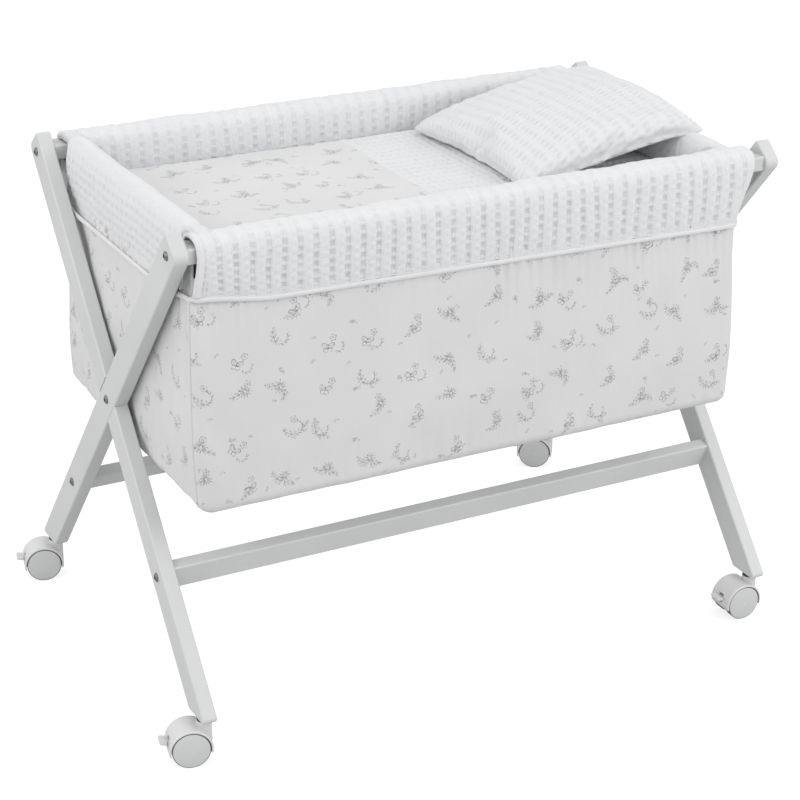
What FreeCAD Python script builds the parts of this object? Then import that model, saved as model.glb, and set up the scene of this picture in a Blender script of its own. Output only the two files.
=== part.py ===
import FreeCAD, Part
import os
import re

import Sketcher

# Bassinet on a folding-style stand: two crossed-leg ends, two top rails and two stretchers,
# a fabric basket hung from the rails, bedding, and four braked twin-wheel castors.
# Frame: X along the length (+X is the head end), -Y is the front, +Z is up, and the floor
# is at Z 0. The stand's own middle is at (frame_x, frame_y), because the castors trail to the
# left and a little to the rear, and the origin is under the middle of the whole object.

V = FreeCAD.Vector
TURN_X = V(1, 0, 0)
TURN_Y = V(0, 1, 0)
TURN_Z = V(0, 0, 1)
NO_TURN = FreeCAD.Rotation()

doc = FreeCAD.newDocument("bassinet_on_stand")

# ---------------------------------------------------------------- driving dimensions (mm, degrees)

SIZES = {
    # stand
    "frame_x": 20.4,
    "frame_y": -8.5,
    "frame_length": 870,
    "leg_width": 41,
    "leg_depth": 20,
    "leg_angle": 39.9,
    "pivot_height": 392.5,
    "top_bolt_reach": 356,
    "low_bolt_reach": 244.5,
    "leg_top_reach": 376,
    "leg_foot_height": 61,
    "leg_nose_round": 12,
    "leg_corner_round": 5,
    "wood_edge_round": 2.5,
    "lap_gap": 0.3,
    "rail_width": 35,
    "rail_height": 20,
    "stretcher_depth": 18,
    "stretcher_width": 35,
    "front_stretcher_tilt": 17,
    # fasteners
    "bolt_radius": 2.95,
    "bolt_length": 50,
    "bolt_head_radius": 6,
    "bolt_head_rim": 1,
    "bolt_head_height": 3.4,
    "bolt_dome_radius": 8.7,
    "bolt_key_width": 4,
    "bolt_key_floor": 1.4,
    "bolt_hole_radius": 3.3,
    "crossing_bolt_length": 16,
    "crossing_hole_radius": 4.1,
    "crossing_nut_radius": 4,
    "crossing_nut_length": 12,
    "nut_bore_radius": 3,
    "nut_flange_radius": 6,
    "nut_flange_height": 1.8,
    "barrel_nut_radius": 5,
    "barrel_nut_length": 14,
    "barrel_nut_inset": 25,
    "barrel_hole_radius": 5.05,
    # castors
    "wheel_radius": 25,
    "wheel_offset": 20,
    "wheel_inner": 8,
    "wheel_shoulder": 20.5,
    "wheel_apex": 22.3,
    "wheel_disc_radius": 23,
    "wheel_dome_radius": 147.8,
    "wheel_bore_radius": 3.06,
    "wheel_bore_end": 17.5,
    "axle_radius": 3,
    "axle_half": 17,
    "hood_radius": 28.5,
    "hood_half": 20.8,
    "hood_web_half": 7.5,
    "hood_dip": 12,
    "hood_edge_round": 2,
    "well_radius": 26,
    "neck_radius": 10,
    "neck_top": 57.2,
    "neck_round": 1.5,
    "stem_radius": 4,
    "stem_low": 29,
    "stem_length": 51,
    "stem_bore_radius": 4.05,
    "socket_radius": 5,
    "socket_bore_radius": 4.02,
    "socket_top": 83,
    "socket_hole_radius": 5.05,
    "collar_radius": 9.5,
    "collar_low": 57.5,
    "pedal_x": 38,
    "pedal_z": 31,
    "pedal_tilt": 10,
    "pedal_half": 4.8,
    "pedal_thick": 2.8,
    "pedal_arm": 11.8,
    "pedal_tip": 20.5,
    "pedal_tab_half": 10,
    "pedal_boss_radius": 3.8,
    "pedal_pin_radius": 1.5,
    "pedal_pin_half": 7.2,
    "pedal_pin_hole": 1.55,
    "pedal_slot_half": 5.3,
    "pedal_slot_x": 33,
    "pedal_slot_low": 25.5,
    "pedal_slot_high": 38,
    # basket and bedding
    "basket_left": -408,
    "basket_right": 388,
    "basket_half": 250,
    "basket_low": 322,
    "basket_wall": 8,
    "band_low": 602,
    "band_top": 683.5,
    "band_left": -401,
    "band_right": 396,
    "band_outer": 252.5,
    "band_inner": 205,
    "band_round": 9,
    "band_rail_gap": 0.4,
    "end_band_top": 686,
    "end_band_thick": 24,
    "end_band_round": 11,
    "piping_size": 5,
    "piping_out": 2.4,
    "board_thick": 6,
    "board_gap": 4,
    "board_round": 18,
    "mattress_top": 600,
    "mattress_round": 12,
    "mattress_gap": 5,
    "bedding_gap": 0.3,
    "quilt_top": 640,
    "quilt_gap": 2.5,
    "quilt_round": 10,
    "quilt_seam": -5,
    "seam_width": 1.6,
    "seam_deep": 1.2,
    "pillow_x": 248,
    "pillow_y": 8,
    "pillow_z": 672.6,
    "pillow_tilt": 10,
    "pillow_half_x": 146,
    "pillow_half_y": 152,
    "pillow_crown": 34,
    "pillow_belly": 26,
}

# Swivel corners: name, end (-1 left, +1 right), side (-1 front, +1 rear) and the direction
# that the castor trails in, counted from +X about +Z.
CASTORS = (
    ("front_left", -1, -1, 167),
    ("rear_left", -1, 1, 166),
    ("front_right", 1, -1, 179),
    ("rear_right", 1, 1, 149),
)

sheet = doc.addObject("Spreadsheet::Sheet", "sizes")
for row, (alias, size) in enumerate(SIZES.items(), start=1):
    sheet.set("A%d" % row, alias)
    sheet.set("B%d" % row, str(size))
    sheet.setAlias("B%d" % row, alias)
doc.recompute()

ALIAS = re.compile(r"\b(%s)\b" % "|".join(SIZES))


def bound(expression):
    """The expression with every alias pointed at the sheet."""
    return ALIAS.sub(r"sizes.\1", expression)


def value(expression):
    """The expression's number, for first positions and rotations."""
    return float(sheet.evalExpression(expression))


# ---------------------------------------------------------------- modelling helpers


def new_body(label):
    body = doc.addObject("PartDesign::Body", label)
    body.Label = label
    return body


def put(piece, x, y, z, rotation=NO_TURN):
    """Places a piece, with its base point bound to the sheet."""
    piece.Placement = FreeCAD.Placement(V(value(x), value(y), value(z)), rotation)
    for axis, expression in zip("xyz", (x, y, z)):
        piece.setExpression("Placement.Base." + axis, bound(expression))


def stand(piece, x, y, z, rotation=NO_TURN):
    """Places a whole piece, with x and y counted from the stand's own middle."""
    put(piece, "frame_x + " + x, "frame_y + " + y, z, rotation)


def bind(feature, **sizes):
    for name, expression in sizes.items():
        feature.setExpression(name, bound(expression))


def sketch_on(body, name, role):
    sketch = body.newObject("Sketcher::SketchObject", name)
    plane = [feature for feature in body.Origin.OriginFeatures if feature.Role == role][0]
    sketch.AttachmentSupport = [(plane, "")]
    sketch.MapMode = "FlatFace"
    return sketch


def fix_point(sketch, geometry, end, u, v):
    for kind, expression in (("DistanceX", u), ("DistanceY", v)):
        rule = Sketcher.Constraint(kind, -1, 1, geometry, end, value(expression))
        index = sketch.addConstraint(rule)
        sketch.setExpression("Constraints[%d]" % index, bound(expression))


def outline(body, name, role, corners):
    """A closed sketch. A corner is (u, v), or (u, v, radius) where an arc that turns
    counter-clockwise runs to the next corner."""
    sketch = sketch_on(body, name, role)
    points = [V(value(corner[0]), value(corner[1]), 0) for corner in corners]
    count = len(corners)
    for i, corner in enumerate(corners):
        start = points[i]
        finish = points[(i + 1) % count]
        if len(corner) == 2:
            sketch.addGeometry(Part.LineSegment(start, finish), False)
        else:
            radius = value(corner[2])
            chord = finish - start
            rise = (radius ** 2 - chord.Length ** 2 / 4) ** 0.5
            normal = V(-chord.y, chord.x, 0).normalize()
            centre = (start + finish) * 0.5 + normal * rise
            circle = Part.Circle(centre, TURN_Z, radius)
            arc = Part.ArcOfCircle(circle, circle.parameter(start), circle.parameter(finish))
            sketch.addGeometry(arc, False)
    for i, corner in enumerate(corners):
        sketch.addConstraint(Sketcher.Constraint("Coincident", i, 2, (i + 1) % count, 1))
        fix_point(sketch, i, 1, corner[0], corner[1])
        if len(corner) == 3:
            index = sketch.addConstraint(Sketcher.Constraint("Radius", i, value(corner[2])))
            sketch.setExpression("Constraints[%d]" % index, bound(corner[2]))
    return sketch


def rounds(body, name, role, holes):
    """A sketch of circles, each (u, v, radius)."""
    sketch = sketch_on(body, name, role)
    for i, (u, v, radius) in enumerate(holes):
        circle = Part.Circle(V(value(u), value(v), 0), TURN_Z, value(radius))
        sketch.addGeometry(circle, False)
        fix_point(sketch, i, 3, u, v)
        index = sketch.addConstraint(Sketcher.Constraint("Radius", i, value(radius)))
        sketch.setExpression("Constraints[%d]" % index, bound(radius))
    return sketch


def pad(body, sketch, length):
    """Extrudes a sketch evenly to both sides of its plane."""
    feature = body.newObject("PartDesign::Pad", sketch.Name + "Pad")
    feature.Profile = sketch
    feature.SideType = "Symmetric"
    bind(feature, Length=length)
    doc.recompute()
    return feature


def pocket(body, sketch, length, symmetric=False):
    """Cuts a sketch along its plane's normal, or evenly to both sides."""
    before = body.Shape.Volume
    feature = body.newObject("PartDesign::Pocket", sketch.Name + "Pocket")
    feature.Profile = sketch
    if symmetric:
        feature.SideType = "Symmetric"
    else:
        feature.Reversed = True
    bind(feature, Length=length)
    doc.recompute()
    if not feature.Shape.Volume < before:
        raise RuntimeError(feature.Name + " cuts nothing")
    return feature


def turn(body, sketch, axis):
    feature = body.newObject("PartDesign::Revolution", sketch.Name + "Turn")
    feature.Profile = sketch
    feature.ReferenceAxis = (sketch, [axis])
    feature.Angle = 360
    doc.recompute()
    return feature


def cylinder(body, kind, name, radius, height, x, y, z, rotation=NO_TURN):
    """kind is Additive or Subtractive. The cylinder rises along the turned Z axis."""
    feature = body.newObject("PartDesign::%sCylinder" % kind, name)
    bind(feature, Radius=radius, Height=height)
    put(feature, x, y, z, rotation)
    doc.recompute()
    return feature


def block(body, kind, name, low, high):
    """A box between two corners, each three expressions."""
    feature = body.newObject("PartDesign::%sBox" % kind, name)
    spans = ["(%s)-(%s)" % (far, near) for near, far in zip(low, high)]
    bind(feature, Length=spans[0], Width=spans[1], Height=spans[2])
    put(feature, *low)
    doc.recompute()
    return feature


def rounded(body, radius, chosen):
    """Fillets the edges of the body's last feature that the test chooses."""
    base = body.Tip
    names = ["Edge%d" % (i + 1) for i, edge in enumerate(base.Shape.Edges) if chosen(edge)]
    feature = body.newObject("PartDesign::Fillet", "Round")
    feature.Base = (base, names)
    bind(feature, Radius=radius)
    doc.recompute()
    return feature


def near(a, b):
    return abs(a - b) < 0.01


def along_x(edge):
    box = edge.BoundBox
    return box.YLength < 0.01 and box.ZLength < 0.01 and box.XLength > 0.01


def in_plane_x(half):
    """Edges that lie flat in the planes x = -half and x = +half."""
    return lambda edge: edge.BoundBox.XLength < 0.01 and near(abs(edge.BoundBox.XMin), half)


def copies(label, source, placings):
    """One node of identical separate solids: links to one source piece, each placed."""
    links = []
    for x, y, z, rotation in placings:
        link = doc.addObject("App::Link", label + "_one")
        link.LinkedObject = source
        stand(link, x, y, z, rotation)
        links.append(link)
    group = doc.addObject("Part::Compound", label)
    group.Label = label
    group.Links = links
    doc.recompute()
    return group


# ---------------------------------------------------------------- shared positions

OUTER_X = "frame_length/2"
INNER_X = "(frame_length/2 - leg_depth)"
TOP_Y = "top_bolt_reach*sin(leg_angle)"
TOP_Z = "(pivot_height + top_bolt_reach*cos(leg_angle))"
LOW_Y = "low_bolt_reach*sin(leg_angle)"
LOW_Z = "(pivot_height - low_bolt_reach*cos(leg_angle))"
FOOT_Y = "(pivot_height - leg_foot_height)*tan(leg_angle)"
FOOT_X = "(frame_length/2 - leg_depth/2)"

LEAN = FreeCAD.Rotation(TURN_X, value("leg_angle"))
HALF_TURN = FreeCAD.Rotation(TURN_Z, 180)


def signed(sign, distance):
    return distance if sign > 0 else "-" + distance


# ---------------------------------------------------------------- wooden stand


def leg(label, end, top):
    """One leg of a crossed pair: half-lapped at the crossing, cut level at the foot.
    end is -1 at the left and +1 at the right, top is -1 where its top is at the front.
    All four legs are one shape: where end and top differ it is turned half round."""
    body = new_body(label)
    foot = "(leg_foot_height - pivot_height %s leg_width/2*sin(leg_angle))/cos(leg_angle)"
    blank = outline(body, "Blank", "YZ_Plane", [
        ("-leg_width/2", "leg_top_reach"),
        ("-leg_width/2", foot % "+"),
        ("leg_width/2", foot % "-"),
        ("leg_width/2", "leg_top_reach"),
    ])
    pad(body, blank, "leg_depth")
    half = value("leg_width/2")
    top_z = value("leg_top_reach")
    nose = lambda edge: near(edge.BoundBox.YMax, -half) and near(edge.BoundBox.ZMax, top_z)
    rounded(body, "leg_nose_round", lambda edge: along_x(edge) and nose(edge))
    sharp = lambda edge: near(abs(edge.BoundBox.YMax), half) and not nose(edge)
    tip = lambda edge: edge.BoundBox.ZMax < 0 or near(edge.BoundBox.ZMin, top_z)
    rounded(body, "leg_corner_round", lambda e: along_x(e) and sharp(e) and tip(e))
    rounded(body, "wood_edge_round", in_plane_x(value("leg_depth/2")))

    reach = "leg_width/2 + 3"
    edge_w = "((%s)*cos(2*leg_angle) %s (leg_width/2 + lap_gap))/sin(2*leg_angle)"
    lap = outline(body, "Lap", "YZ_Plane", [
        ("-(%s)" % reach, edge_w % ("-(%s)" % reach, "-")),
        (reach, edge_w % (reach, "-")),
        (reach, edge_w % (reach, "+")),
        ("-(%s)" % reach, edge_w % ("-(%s)" % reach, "+")),
    ])
    pocket(body, lap, "leg_depth")
    holes = rounds(body, "BoltHoles", "YZ_Plane", [
        ("0", "top_bolt_reach", "bolt_hole_radius"),
        ("0", "0", "crossing_hole_radius"),
        ("0", "-low_bolt_reach", "bolt_hole_radius"),
    ])
    pocket(body, holes, "leg_depth*2", symmetric=True)
    cylinder(body, "Subtractive", "SocketHole", "socket_hole_radius",
             "socket_top - leg_foot_height + 3.5", "0", "-3*sin(leg_angle)",
             "-(pivot_height - leg_foot_height)/cos(leg_angle) - 3*cos(leg_angle)",
             FreeCAD.Rotation(TURN_X, -value("leg_angle")))
    rotation = LEAN if top < 0 else HALF_TURN * LEAN
    stand(body, signed(end, FOOT_X), "0", "pivot_height", rotation)
    return body


def bar(label, depth, width, tilt, y, z):
    """A lengthwise bar between the leg ends, with a bolt bore and a nut hole at each end.
    depth is its size along Y and width along Z before the tilt. The nut holes cross its
    thinner way."""
    body = new_body(label)
    section = outline(body, "Section", "YZ_Plane", [
        ("-%s/2" % depth, "-%s/2" % width),
        ("%s/2" % depth, "-%s/2" % width),
        ("%s/2" % depth, "%s/2" % width),
        ("-%s/2" % depth, "%s/2" % width),
    ])
    pad(body, section, "frame_length - 2*leg_depth")
    rounded(body, "wood_edge_round", along_x)
    flat = value(depth) > value(width)
    thin = width if flat else depth
    for end in (-1, 1):
        inward = FreeCAD.Rotation(TURN_Y, -90 * end)
        cylinder(body, "Subtractive", "BoltBore", "bolt_hole_radius",
                 "bolt_length - leg_depth + 3", signed(end, INNER_X), "0", "0", inward)
        nut_x = signed(end, "(%s - barrel_nut_inset)" % INNER_X)
        into = NO_TURN if flat else FreeCAD.Rotation(TURN_X, 90)
        start = "-%s/2 - 1" % thin if flat else "%s/2 + 1" % thin
        depth_in = "%s/2 + barrel_nut_length/2 + 1" % thin
        place = (nut_x, "0", start) if flat else (nut_x, start, "0")
        cylinder(body, "Subtractive", "NutHole", "barrel_hole_radius", depth_in, *place, into)
    stand(body, "0", y, z, FreeCAD.Rotation(TURN_X, value(tilt)))
    return body


# ---------------------------------------------------------------- fasteners


def bolt(name, length):
    """A dome-headed hex-key bolt along Z, with the head's underside at Z 0."""
    body = new_body(name)
    profile = outline(body, "Profile", "XZ_Plane", [
        ("0", "-" + length),
        ("bolt_radius", "-" + length),
        ("bolt_radius", "0"),
        ("bolt_head_radius", "0"),
        ("bolt_head_radius", "bolt_head_rim", "bolt_dome_radius"),
        ("0", "bolt_head_height"),
    ])
    turn(body, profile, "V_Axis")
    side = "bolt_key_width/2/cos(30)"
    key = outline(body, "Key", "XY_Plane", [
        ("%s*cos(%d)" % (side, 60 * i), "%s*sin(%d)" % (side, 60 * i)) for i in range(6)
    ])
    key.AttachmentOffset = FreeCAD.Placement(V(0, 0, value("bolt_key_floor")), NO_TURN)
    pocket(body, key, "bolt_head_height")
    return body


def crossing_nut():
    """A flanged sleeve nut along Z, with the flange's underside at Z 0."""
    body = new_body("crossing_nut_source")
    profile = outline(body, "Profile", "XZ_Plane", [
        ("nut_bore_radius", "-crossing_nut_length"),
        ("crossing_nut_radius", "-crossing_nut_length"),
        ("crossing_nut_radius", "0"),
        ("nut_flange_radius", "0"),
        ("nut_flange_radius", "nut_flange_height"),
        ("nut_bore_radius", "nut_flange_height"),
    ])
    turn(body, profile, "V_Axis")
    return body


def barrel_nut():
    """A cross dowel: a short cylinder along Z with its threaded bore along X."""
    body = new_body("barrel_nut_source")
    cylinder(body, "Additive", "Barrel", "barrel_nut_radius", "barrel_nut_length",
             "0", "0", "-barrel_nut_length/2")
    cylinder(body, "Subtractive", "Bore", "nut_bore_radius", "barrel_nut_radius*2 + 2",
             "-barrel_nut_radius - 1", "0", "0", FreeCAD.Rotation(TURN_Y, 90))
    return body


def outward(end):
    return FreeCAD.Rotation(TURN_Y, 90 * end)


def fasteners():
    long_bolt = bolt("bolt_source", "bolt_length")
    short_bolt = bolt("crossing_bolt_source", "crossing_bolt_length")
    sleeve = crossing_nut()
    dowel = barrel_nut()
    corners = [(end, side) for end in (-1, 1) for side in (-1, 1)]
    tops = [
        (signed(end, OUTER_X), signed(side, TOP_Y), TOP_Z, outward(end))
        for end, side in corners
    ]
    lows = [
        (signed(end, OUTER_X), signed(side, LOW_Y), LOW_Z, outward(end))
        for end, side in corners
    ]
    outer = [
        (signed(end, OUTER_X), "0", "pivot_height", outward(end)) for end in (-1, 1)
    ]
    inner = [
        (signed(end, INNER_X), "0", "pivot_height", outward(-end)) for end in (-1, 1)
    ]
    nut_x = "(%s - barrel_nut_inset)" % INNER_X
    tilts = {-1: value("front_stretcher_tilt"), 1: value("leg_angle")}
    nuts = [
        (signed(end, nut_x), signed(side, TOP_Y), TOP_Z, NO_TURN)
        for end, side in corners
    ]
    nuts += [
        (signed(end, nut_x), signed(side, LOW_Y), LOW_Z,
         FreeCAD.Rotation(TURN_X, tilts[side] + 90))
        for end, side in corners
    ]
    return [
        copies("top_rail_bolts", long_bolt, tops),
        copies("stretcher_bolts", long_bolt, lows),
        copies("crossing_bolts", short_bolt, outer),
        copies("crossing_nuts", sleeve, inner),
        copies("barrel_nuts", dowel, nuts),
    ]


# ---------------------------------------------------------------- castors


def castor_socket():
    """A plastic sleeve driven up into the leg's foot, with a collar under the foot."""
    body = new_body("castor_socket_source")
    profile = outline(body, "Profile", "XZ_Plane", [
        ("socket_bore_radius", "collar_low"),
        ("collar_radius", "collar_low"),
        ("collar_radius", "leg_foot_height"),
        ("socket_radius", "leg_foot_height"),
        ("socket_radius", "socket_top"),
        ("0", "socket_top"),
        ("0", "socket_top - 1.5"),
        ("socket_bore_radius", "socket_top - 1.5"),
    ])
    turn(body, profile, "V_Axis")
    return body


def castor_stem():
    body = new_body("castor_stem_source")
    cylinder(body, "Additive", "Stem", "stem_radius", "stem_length", "0", "0", "stem_low")
    return body


def castor_hood(label):
    """Housing: a shell over the upper half of both wheels, a web between them that carries
    the axle and the pedal, and a neck that turns on the stem. Its origin is on the floor
    under the swivel axis, and +X is the way that it trails."""
    body = new_body(label)
    dip_x = "hood_radius*cos(hood_dip)"
    dip_z = "wheel_radius - hood_radius*sin(hood_dip)"
    dome = outline(body, "Dome", "XZ_Plane", [
        ("wheel_offset + " + dip_x, dip_z, "hood_radius"),
        ("wheel_offset", "wheel_radius + hood_radius", "hood_radius"),
        ("wheel_offset - " + dip_x, dip_z),
    ])
    pad(body, dome, "hood_half*2")
    side = value("hood_half")
    rounded(body, "hood_edge_round",
            lambda edge: edge.BoundBox.YLength < 0.01 and near(abs(edge.BoundBox.YMin), side)
            and edge.BoundBox.ZLength > 1)
    cylinder(body, "Additive", "Neck", "neck_radius", "neck_top - 20", "0", "0", "20")
    top = value("neck_top")
    rounded(body, "neck_round",
            lambda edge: near(edge.BoundBox.ZMin, top) and near(edge.BoundBox.ZMax, top))
    for sign in (-1, 1):
        cylinder(body, "Subtractive", "Well", "well_radius", "hood_half",
                 "wheel_offset", signed(sign, "hood_web_half"), "wheel_radius",
                 FreeCAD.Rotation(TURN_X, -90 * sign))
    across = FreeCAD.Rotation(TURN_X, -90)
    cylinder(body, "Subtractive", "StemBore", "stem_bore_radius", "neck_top",
             "0", "0", "stem_low - 1")
    cylinder(body, "Subtractive", "AxleBore", "axle_radius + 0.02", "hood_half*2",
             "wheel_offset", "-hood_half", "wheel_radius", across)
    block(body, "Subtractive", "PedalSlot",
          ("pedal_slot_x", "-pedal_slot_half", "pedal_slot_low"),
          ("wheel_offset + hood_radius + 5", "pedal_slot_half", "pedal_slot_high"))
    cylinder(body, "Subtractive", "PedalBore", "pedal_pin_hole", "hood_web_half*2 + 2",
             "pedal_x", "-hood_web_half - 1", "pedal_z", across)
    return body


def castor_pedal(label):
    """Brake pedal with moulded-on pivot pins. Its origin is on the pivot, +X to the tab."""
    body = new_body(label)
    thick = "pedal_thick/2"
    block(body, "Additive", "Arm", ("0", "-pedal_half", "-" + thick),
          ("pedal_arm + 1", "pedal_half", thick))
    block(body, "Additive", "Tab", ("pedal_arm", "-pedal_tab_half", "-" + thick),
          ("pedal_tip", "pedal_tab_half", thick))
    tip = value("pedal_tip")
    rounded(body, "pedal_thick", lambda e: e.BoundBox.ZLength > 1 and near(e.BoundBox.XMin, tip))
    across = FreeCAD.Rotation(TURN_X, -90)
    cylinder(body, "Additive", "Boss", "pedal_boss_radius", "pedal_half*2",
             "0", "-pedal_half", "0", across)
    cylinder(body, "Additive", "Pins", "pedal_pin_radius", "pedal_pin_half*2",
             "0", "-pedal_pin_half", "0", across)
    return body


def castor_wheel(label):
    """A wheel that spins about Y, with a domed outer disc that closes its bore."""
    body = new_body(label)
    disc = "wheel_disc_radius"
    dome_in = "wheel_dome_radius - sqrt(wheel_dome_radius^2 - wheel_disc_radius^2)"
    profile = outline(body, "Profile", "YZ_Plane", [
        ("wheel_inner", "wheel_bore_radius"),
        ("wheel_bore_end", "wheel_bore_radius"),
        ("wheel_bore_end", "0"),
        ("wheel_apex", "0", "wheel_dome_radius"),
        ("wheel_apex - (%s)" % dome_in, disc),
        ("wheel_shoulder - 1", "wheel_radius"),
        ("wheel_inner + 1", "wheel_radius"),
        ("wheel_inner", "wheel_radius - 1"),
    ])
    turn(body, profile, "H_Axis")
    return body


def castor_axle(label):
    body = new_body(label)
    cylinder(body, "Additive", "Axle", "axle_radius", "axle_half*2",
             "0", "-axle_half", "0", FreeCAD.Rotation(TURN_X, -90))
    return body


def castors():
    pieces = []
    stands = []
    for corner, end, side, trail in CASTORS:
        x = signed(end, FOOT_X)
        y = signed(side, FOOT_Y)
        stands.append((x, y, "0", NO_TURN))
        swing = FreeCAD.Rotation(TURN_Z, trail)

        def ahead(piece, distance, z, rotation):
            stand(piece, "%s + %s*cos(%d)" % (x, distance, trail),
                  "%s + %s*sin(%d)" % (y, distance, trail), z, rotation)
            pieces.append(piece)

        prefix = corner + "_castor_"
        ahead(castor_hood(prefix + "hood"), "0", "0", swing)
        ahead(castor_axle(prefix + "axle"), "wheel_offset", "wheel_radius", swing)
        ahead(castor_wheel(prefix + "front_wheel"), "wheel_offset", "wheel_radius", swing)
        ahead(castor_wheel(prefix + "rear_wheel"), "wheel_offset", "wheel_radius",
              swing * HALF_TURN)
        ahead(castor_pedal(prefix + "brake"), "pedal_x", "pedal_z",
              swing * FreeCAD.Rotation(TURN_Y, -value("pedal_tilt")))
    pieces.append(copies("castor_sockets", castor_socket(), stands))
    pieces.append(copies("castor_stems", castor_stem(), stands))
    return pieces


# ---------------------------------------------------------------- basket and bedding


def slab(label, low, high, radius=None, chosen=None):
    """A plain block with some edges rounded."""
    body = new_body(label)
    block(body, "Additive", "Block", low, high)
    if radius:
        rounded(body, radius, chosen)
    stand(body, "0", "0", "0")
    return body


def basket():
    """Fabric basket: four walls and a bottom, sewn at their edges."""
    wall = "basket_wall"
    left, right, half = "basket_left", "basket_right", "basket_half"
    low, top = "basket_low", "band_low"
    return [
        slab("basket_front_panel", ("%s + %s" % (left, wall), "-" + half, low),
             ("%s - %s" % (right, wall), "-%s + %s" % (half, wall), top)),
        slab("basket_rear_panel", ("%s + %s" % (left, wall), "%s - %s" % (half, wall), low),
             ("%s - %s" % (right, wall), half, top)),
        slab("basket_left_panel", (left, "-" + half, low),
             ("%s + %s" % (left, wall), half, top)),
        slab("basket_right_panel", ("%s - %s" % (right, wall), "-" + half, low),
             (right, half, top)),
        slab("basket_bottom_panel",
             ("%s + %s" % (left, wall), "-%s + %s" % (half, wall), low),
             ("%s - %s" % (right, wall), "%s - %s" % (half, wall), "%s + %s" % (low, wall))),
    ]


def rail_band(label, side):
    """Padded band folded over a top rail, with the rail's tunnel through it."""
    body = new_body(label)
    near_y, far_y = ("-band_outer", "-band_inner") if side < 0 else ("band_inner", "band_outer")
    block(body, "Additive", "Band", ("band_left", near_y, "band_low"),
          ("band_right", far_y, "band_top"))
    top = value("band_top")
    rounded(body, "band_round", lambda e: along_x(e) and near(e.BoundBox.ZMax, top))
    middle = signed(side, TOP_Y)
    block(body, "Subtractive", "Tunnel",
          ("band_left - 1", "%s - rail_width/2 - band_rail_gap" % middle,
           TOP_Z + " - rail_height/2 - band_rail_gap"),
          ("band_right + 1", "%s + rail_width/2 + band_rail_gap" % middle,
           TOP_Z + " + rail_height/2 + band_rail_gap"))
    stand(body, "0", "0", "0")
    return body


def bands():
    def top_edges(edge):
        box = edge.BoundBox
        return near(box.ZMin, value("end_band_top")) and box.YLength > 100

    reach = "band_inner - 0.5"
    return [
        rail_band("rim_band_front", -1),
        rail_band("rim_band_rear", 1),
        slab("rim_band_left", ("basket_left", "-(%s)" % reach, "band_low"),
             ("basket_left + end_band_thick", reach, "end_band_top"),
             "end_band_round", top_edges),
        slab("rim_band_right", ("basket_right - end_band_thick", "-(%s)" % reach, "band_low"),
             ("basket_right", reach, "end_band_top"), "end_band_round", top_edges),
    ]


def piping():
    """Sewn piping all round, just under the bands."""
    body = new_body("rim_piping")
    middle_z = "band_low - piping_size/2"
    low_z = "%s - piping_size/2" % middle_z
    high_z = "%s + piping_size/2" % middle_z
    block(body, "Additive", "Ring",
          ("basket_left - piping_out", "-basket_half - piping_out", low_z),
          ("basket_right + piping_out", "basket_half + piping_out", high_z))
    rounded(body, "piping_size/2.2",
            lambda e: e.BoundBox.ZLength < 0.01 and e.BoundBox.DiagonalLength > 20)
    block(body, "Subtractive", "Inside", ("basket_left", "-basket_half", low_z + " - 1"),
          ("basket_right", "basket_half", high_z + " + 1"))
    stand(body, "0", "0", "0")
    return body


def bedding():
    """Base board, mattress and quilt."""
    inside = "basket_wall + board_gap"
    board_half = "(basket_half - (%s))" % inside
    floor = "basket_low + basket_wall"
    board_top = "%s + board_thick" % floor
    left = "basket_left + end_band_thick + "
    right = "basket_right - end_band_thick - "
    half = "(band_inner - %s)"
    upright = lambda e: e.BoundBox.ZLength > 5 and e.BoundBox.XLength < 0.01
    top = value("quilt_top")
    quilt = slab("quilt", (left + "quilt_gap", "-" + half % "quilt_gap",
                           "mattress_top + bedding_gap"),
                 (right + "quilt_gap", half % "quilt_gap", "quilt_top"),
                 "quilt_round", lambda e: near(e.BoundBox.ZMin, top))
    # the seam between its printed panel and its waffle one
    block(quilt, "Subtractive", "Seam",
          ("quilt_seam - seam_width/2", "-band_inner", "quilt_top - seam_deep"),
          ("quilt_seam + seam_width/2", "band_inner", "quilt_top + 1"))
    return [
        slab("base_board", ("basket_left + " + inside, "-" + board_half, floor),
             ("basket_right - (%s)" % inside, board_half, board_top), "board_round", upright),
        slab("mattress", (left + "mattress_gap", "-" + half % "mattress_gap",
                          board_top + " + bedding_gap"),
             (right + "mattress_gap", half % "mattress_gap", "mattress_top"),
             "mattress_round", upright),
        quilt,
    ]


def lens(name, role, half_span, length):
    """A bar whose section is a lens: crowned above and bellied below."""
    body = new_body(name)
    radius = "((%s)^2 + %s^2)/(2*%s)"
    crown = radius % (half_span, "pillow_crown", "pillow_crown")
    belly = radius % (half_span, "pillow_belly", "pillow_belly")
    profile = outline(body, "Lens", role, [
        (half_span, "0", crown),
        ("-" + half_span, "0", belly),
    ])
    pad(body, profile, length)
    return body


def pillow():
    """A cushion with knife edges: where a lens along X meets a lens along Y."""
    pillow_shape = doc.addObject("Part::Common", "pillow")
    pillow_shape.Label = "pillow"
    pillow_shape.Base = lens("pillow_long_way", "XZ_Plane", "pillow_half_x", "pillow_half_y*2")
    pillow_shape.Tool = lens("pillow_cross_way", "YZ_Plane", "pillow_half_y", "pillow_half_x*2")
    doc.recompute()
    stand(pillow_shape, "pillow_x", "pillow_y", "pillow_z",
          FreeCAD.Rotation(TURN_Y, -value("pillow_tilt")))
    return pillow_shape


# ---------------------------------------------------------------- the whole object


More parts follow.
